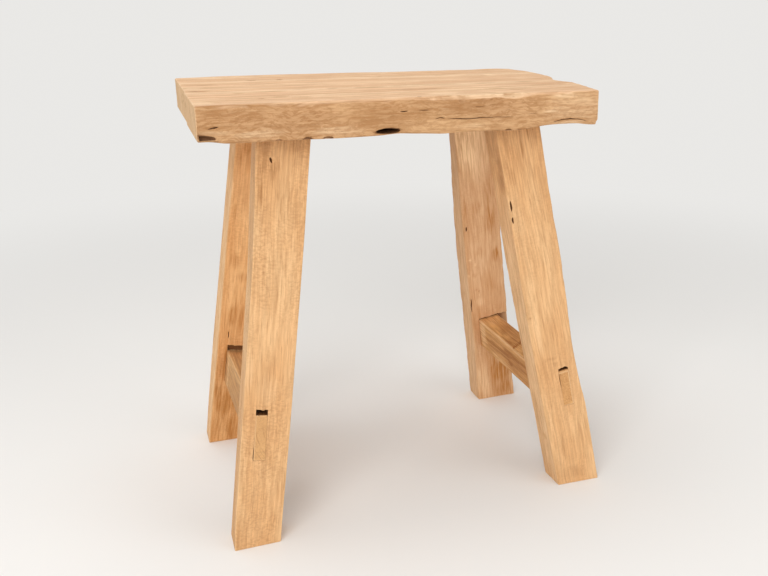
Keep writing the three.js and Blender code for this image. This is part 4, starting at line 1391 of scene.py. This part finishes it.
def timber_skin(tree, parts, look, finish):
    """The colour: pale and tan wood by its figure and rings, then latewood lines, fibres, curl, low
    places, sawn ends, stains with painted shade, paler places with painted light, pores, worn arrises
    lightened also as a painted highlight, and painted shade in hollows over it."""

    def over(skin, tone, *shares):
        return blended(tree, times(tree, *shares), skin, tone)

    fibres, dark = parts["Fibres"], look["dark"]
    skin = over(look["pale"], look["tan"], parts["Figure"], look["figure_share"])
    skin = over(skin, look["tan"], parts["Rings"], look["ring_share"])
    skin = over(skin, dark, parts["Lines"], look["line_share"])
    if finish:
        skin = finish(tree, skin, parts)
    skin = over(skin, dark, maths(tree, "SUBTRACT", 1.0, fibres), look["fibre_share"])
    skin = over(skin, dark, parts["Curl"], look["curl_share"])
    skin = over(skin, dark, ramp(tree, attribute(tree, "low"), 0.42, 0.95, 0.0, look["low_share"]))
    end_tone = over(look["end"], dark, parts["Lines"], 0.4)
    skin = over(skin, end_tone, attribute(tree, "sawn_end"), 0.85)
    uneven = maths(tree, "ADD", times(tree, fibres, -0.7), 1.15)
    # Stains, with the painted shade that the marks add.
    skin = over(skin, dark, attribute(tree, "stain_and_shade"), uneven, look["stains_and_shade_share"])
    # Paler places, with the painted light that the marks add.
    skin = over(skin, look["bleached_and_lit"], attribute(tree, "bleach_and_light"), maths(tree, "ADD", fibres, 0.35))
    skin = over(skin, dark, parts["Pores"], 0.3)
    # Worn arrises, lightened also as a painted highlight along the edges.
    skin = over(skin, look["worn_highlit"], ramp(tree, attribute(tree, "arris"), 0.5, 0.95), look["arris_highlight_share"])
    # Painted shade: the hole colour darkens places by their depth mark.
    return over(skin, colours().hole_shade_brown, ramp(tree, attribute(tree, "deep"), 0.0, 1.0, 0.0, 0.94))


def timber_height(tree, parts, torn_share):
    """The fine relief: fibres stand up; pores, curl, latewood lines and torn fibres lie low."""
    height = times(tree, parts["Fibres"], 0.7)
    for name, depth in (("Pores", 0.8), ("Curl", 0.6), ("Lines", 0.5), ("Torn", torn_share * 1.5)):
        height = maths(tree, "SUBTRACT", height, times(tree, parts[name], depth))
    return height


def timber_material(name, place, grain, look, finish=None):
    """Wood for one piece. `look` holds its colours and how strongly each part of the grain shows;
    the piece's own marks say where it has stains, paler places, painted light and shade, worn and
    highlit arrises, hollows and sawn ends."""
    material = bpy.data.materials.new(name)
    material.use_nodes = True
    tree = material.node_tree
    shader = tree.nodes["Principled BSDF"]
    vector = timber_vector(tree, place, grain)
    grown = {"Vector": vector, "Pith": look["pith"], "Rings per metre": look["rings"], "Sway": look["sway"]}
    parts = place_group(tree, timber_grain_group(), grown)
    tree.links.new(timber_skin(tree, parts, look, finish), shader.inputs["Base Color"])
    dry = maths(tree, "ADD", times(tree, parts["Fibres"], 0.14), 0.68)
    tree.links.new(dry, shader.inputs["Roughness"])
    shader.inputs["Specular IOR Level"].default_value = 0.3
    height = timber_height(tree, parts, look["torn_share"])
    bump = add_node(tree, "ShaderNodeBump", {"Height": height, "Strength": 0.6, "Distance": 0.5 * MM})
    tree.links.new(bump.outputs["Normal"], shader.inputs["Normal"])
    return material


def paled(tone, share):
    """A colour moved towards white by a share."""
    return tuple(channel + (1 - channel) * share for channel in tone)


def seat_material():
    """Scrubbed elm with a darker, torn front edge."""
    c = colours()
    look = {
        "pale": c.seat_pale, "tan": c.seat_tan, "dark": c.grain_brown, "end": c.seat_end,
        "worn_highlit": paled(c.seat_pale, 0.25), "bleached_and_lit": c.seat_pale,
        "pith": (0.0, 0.03, 0.44), "rings": 230.0, "sway": 0.016,
        "figure_share": 0.4, "ring_share": 0.75, "line_share": 0.6, "fibre_share": 0.34,
        "curl_share": 0.06, "torn_share": 0.3, "low_share": 0.0, "arris_highlight_share": 0.3, "stains_and_shade_share": 0.7,
    }

    def hewn_face(tree, skin, parts):
        """The front edge is darker and browner, most of all in its torn fibres and in the low places of its
        relief, where the darkening is painted shade with some dirt.
        """
        mottled = blended(tree, times(tree, parts["Torn"], 0.85), c.seat_face, c.grain_brown)
        mottled = blended(tree, times(tree, parts["Figure"], 0.3), mottled, c.leg_pale)
        # Painted shade, with some dirt, in the low places of the hewn relief.
        low = ramp(tree, attribute(tree, "low"), 0.35, 0.95, 0.0, 0.6)
        mottled = blended(tree, low, mottled, c.grain_brown)
        return blended(tree, times(tree, attribute(tree, "front_face"), 0.94), skin, mottled)

    return timber_material("Hewn elm plank", np.eye(4), "X", look, hewn_face)


def leg_material(end, side):
    """Planed elm, greyer or oranger on the two back legs, with a pith of its own for each leg."""
    c = colours()
    own = {("back", "right"): (c.shade_pale, c.shade_tan), ("back", "left"): (c.warm_pale, c.warm_tan)}
    pale, tan = own.get((end, side), (c.leg_pale, c.leg_tan))
    seed = LEGS[end, side]["seed"]
    look = {
        "pale": pale, "tan": tan, "dark": c.aged_brown if end == "back" else c.grain_brown,
        "end": c.end_tan, "worn_highlit": c.arris_highlight_pale, "bleached_and_lit": c.leg_scoured_and_lit,
        "pith": (0.0, 0.0013 * (seed % 40), 0.05 + 0.001 * (seed % 30)), "rings": 250.0, "sway": 0.024,
        "figure_share": 1.0, "ring_share": 0.5, "line_share": 0.3, "fibre_share": 0.34,
        "curl_share": LEGS[end, side]["curl"], "torn_share": 0.0, "low_share": 0.2,
        "arris_highlight_share": LEGS[end, side]["rub"], "stains_and_shade_share": 1.0,
    }
    return timber_material(f"Planed elm leg, {end} {side}", leg_place(SIDES[side], ENDS[end]), "Z", look)


def stretcher_material(side_name):
    """Aged elm, warmer and more streaked on the right."""
    c = colours()
    own = {
        "left": {
            "pale": c.stretcher_pale, "dark": c.grain_brown, "worn_highlit": c.leg_pale,
            "figure_share": 0.6, "stains_and_shade_share": 0.7,
        },
        "right": {
            "pale": c.stretcher_warm, "dark": c.stretcher_brown, "worn_highlit": c.leg_scoured_and_lit,
            "figure_share": 0.4, "stains_and_shade_share": 1.2,
        },
    }
    look = {
        "tan": c.stretcher_tan, "end": c.end_tan, "bleached_and_lit": c.leg_pale,
        "pith": (0.0, 0.02, 0.05), "rings": 300.0, "sway": 0.01,
        "ring_share": 0.5, "line_share": 0.6, "fibre_share": 0.5, "curl_share": 0.1,
        "torn_share": 0.0, "low_share": 0.3, "arris_highlight_share": 0.75,
    } | own[side_name]
    return timber_material(f"Aged elm stretcher, {side_name}", stretcher_place(SIDES[side_name]), "Y", look)


# Floor, light and camera

CAMERA = {"x": -307.4, "y": -1095.5, "z": 622.9, "yaw": 0.3714, "pitch": 0.3249, "roll": 0.0067}
LENS = 43.23  # on a film 36 mm wide
LENS_SHIFT = -0.1193


def camera_turn():
    """The camera's axes: forward from its yaw and pitch, then up and right turned by its roll."""
    yaw, pitch, roll = CAMERA["yaw"], CAMERA["pitch"], CAMERA["roll"]
    ahead = np.array([math.sin(yaw), math.cos(yaw), 0])
    right = np.array([math.cos(yaw), -math.sin(yaw), 0])
    up = np.array([0, 0, 1.0])
    forward = math.cos(pitch) * ahead - math.sin(pitch) * up
    raised = math.sin(pitch) * ahead + math.cos(pitch) * up
    rolled_right = math.cos(roll) * right + math.sin(roll) * raised
    rolled_up = -math.sin(roll) * right + math.cos(roll) * raised
    return Matrix(np.stack([rolled_right, rolled_up, -forward], -1).tolist())


def add_lamp(name, place, aim, size, power):
    """A square lamp of a size in metres and a power in watts that faces the place it aims at."""
    lamp = bpy.data.lights.new(name, "AREA")
    lamp.size = size
    lamp.energy = power
    holder = bpy.data.objects.new(name, lamp)
    holder.location = place
    holder.rotation_euler = (Vector(aim) - holder.location).to_track_quat("-Z", "Y").to_euler()
    bpy.context.scene.collection.objects.link(holder)


def seen_directly(tree):
    """1 for a ray from the camera, also by way of a mirror or glass, and 0 for one that lights."""
    path = tree.nodes.new("ShaderNodeLightPath").outputs
    seen = maths(tree, "MAXIMUM", path["Is Camera Ray"], path["Is Glossy Ray"])
    return maths(tree, "MAXIMUM", seen, path["Is Transmission Ray"])


def mixed_shaders(tree, share, first, second, target):
    """Links the first shader to the target, with as much of the second as the share says."""
    mix = tree.nodes.new("ShaderNodeMixShader")
    for key, value in enumerate((share, first, second)):
        tree.links.new(value, mix.inputs[key])
    tree.links.new(mix.outputs[0], target.inputs["Surface"])


def floor_material():
    """A plain floor that takes the stool's shadow near by and fades into the backdrop farther off."""
    material = bpy.data.materials.new("Studio floor")
    material.use_nodes = True
    tree = material.node_tree
    shader = tree.nodes["Principled BSDF"]
    shader.inputs["Base Color"].default_value = (*colours().floor_pale, 1)
    shader.inputs["Roughness"].default_value = 0.9
    shader.inputs["Specular IOR Level"].default_value = 0.1
    place = tree.nodes.new("ShaderNodeTexCoord").outputs["Object"]
    far = ramp(tree, vector_maths(tree, "LENGTH", place, out="Value"), 0.6, 1.8)
    haze = add_node(tree, "ShaderNodeEmission", {"Color": (*colours().floor_pale, 1), "Strength": 1.0})
    share = times(tree, far, seen_directly(tree))
    mixed_shaders(tree, share, shader.outputs[0], haze.outputs[0], tree.nodes["Material Output"])
    return material


def studio_world():
    """Soft light from all round, and the floor's own colour where the backdrop is seen."""
    seen_colour = (*colours().floor_pale, 1)
    world = bpy.data.worlds.new("Studio")
    world.use_nodes = True
    tree = world.node_tree
    sky = tree.nodes["Background"]
    sky.inputs["Color"].default_value = (1, 0.985, 0.965, 1)
    sky.inputs["Strength"].default_value = 0.5
    backdrop = add_node(tree, "ShaderNodeBackground", {"Color": seen_colour, "Strength": 1.0})
    target = tree.nodes["World Output"]
    mixed_shaders(tree, seen_directly(tree), sky.outputs[0], backdrop.outputs[0], target)
    return world


def build_stage():
    """The floor, the backdrop, three lamps and the camera that was fitted to the photo."""
    scene = bpy.context.scene
    edge = np.linspace(-20, 20, 9)
    across, along = (grid.ravel() for grid in np.meshgrid(edge, edge))
    points = np.stack([across, along, np.zeros(across.size)], -1)
    corner = (np.arange(8)[:, None] * 9 + np.arange(8)).ravel()
    floor = new_piece("studio_floor", points, np.stack([corner, corner + 1, corner + 10, corner + 9], -1))
    floor.data.materials.append(floor_material())
    scene.world = studio_world()
    middle = (0, 0, 0.28)
    add_lamp("Key", (-1.3, -2.0, 1.5), middle, 1.8, 40)
    add_lamp("Fill", (1.6, -1.7, 0.9), middle, 1.8, 16)
    add_lamp("Top", (-0.3, 0.3, 2.2), middle, 1.6, 18)
    lens = bpy.data.cameras.new("Camera")
    lens.sensor_width = 36
    lens.lens = LENS
    lens.shift_x = LENS_SHIFT
    camera = bpy.data.objects.new("Camera", lens)
    spot = [CAMERA[axis] * MM for axis in "xyz"]
    camera.matrix_world = Matrix.Translation(spot) @ camera_turn().to_4x4()
    scene.collection.objects.link(camera)
    scene.camera = camera
    scene.view_settings.view_transform = "Standard"


# Add-on


class STOOL_OT_seat(bpy.types.Operator):
    """Add the hewn plank seat"""

    bl_idname = "stool.seat"
    bl_label = "Seat plank"

    def execute(self, context):
        build_seat()
        return {"FINISHED"}


class STOOL_OT_legs(bpy.types.Operator):
    """Add the four splayed legs with their mortises"""

    bl_idname = "stool.legs"
    bl_label = "Legs"

    def execute(self, context):
        for end, side in itertools.product(ENDS, SIDES):
            build_leg(end, side)
        return {"FINISHED"}


class STOOL_OT_stretchers(bpy.types.Operator):
    """Add the stretcher across each end"""

    bl_idname = "stool.stretchers"
    bl_label = "Stretchers"

    def execute(self, context):
        for side in SIDES:
            build_stretcher(side)
        return {"FINISHED"}


class STOOL_OT_stage(bpy.types.Operator):
    """Add the floor, the lights and the camera"""

    bl_idname = "stool.stage"
    bl_label = "Studio stage"

    def execute(self, context):
        build_stage()
        return {"FINISHED"}


class STOOL_PT_panel(bpy.types.Panel):
    """The stool's pieces, sizes and colours in the sidebar"""

    bl_label = "Plank stool"
    bl_idname = "STOOL_PT_panel"
    bl_space_type = "VIEW_3D"
    bl_region_type = "UI"
    bl_category = "Stool"

    def draw(self, context):
        for operator in OPERATORS:
            self.layout.operator(operator.bl_idname)
        for group in (context.scene.stool_sizes, context.scene.stool_colours):
            box = self.layout.box()
            for name in group.__annotations__:
                box.prop(group, name)


OPERATORS = (STOOL_OT_seat, STOOL_OT_legs, STOOL_OT_stretchers, STOOL_OT_stage)
CLASSES = (StoolSizes, StoolColours, *OPERATORS, STOOL_PT_panel)


def register():
    for item in CLASSES:
        bpy.utils.register_class(item)
    bpy.types.Scene.stool_sizes = bpy.props.PointerProperty(type=StoolSizes)
    bpy.types.Scene.stool_colours = bpy.props.PointerProperty(type=StoolColours)


def unregister():
    del bpy.types.Scene.stool_colours
    del bpy.types.Scene.stool_sizes
    for item in reversed(CLASSES):
        bpy.utils.unregister_class(item)


def main():
    register()
    bpy.ops.stool.seat()
    bpy.ops.stool.legs()
    bpy.ops.stool.stretchers()
    bpy.ops.stool.stage()


if __name__ == "__main__":
    main()
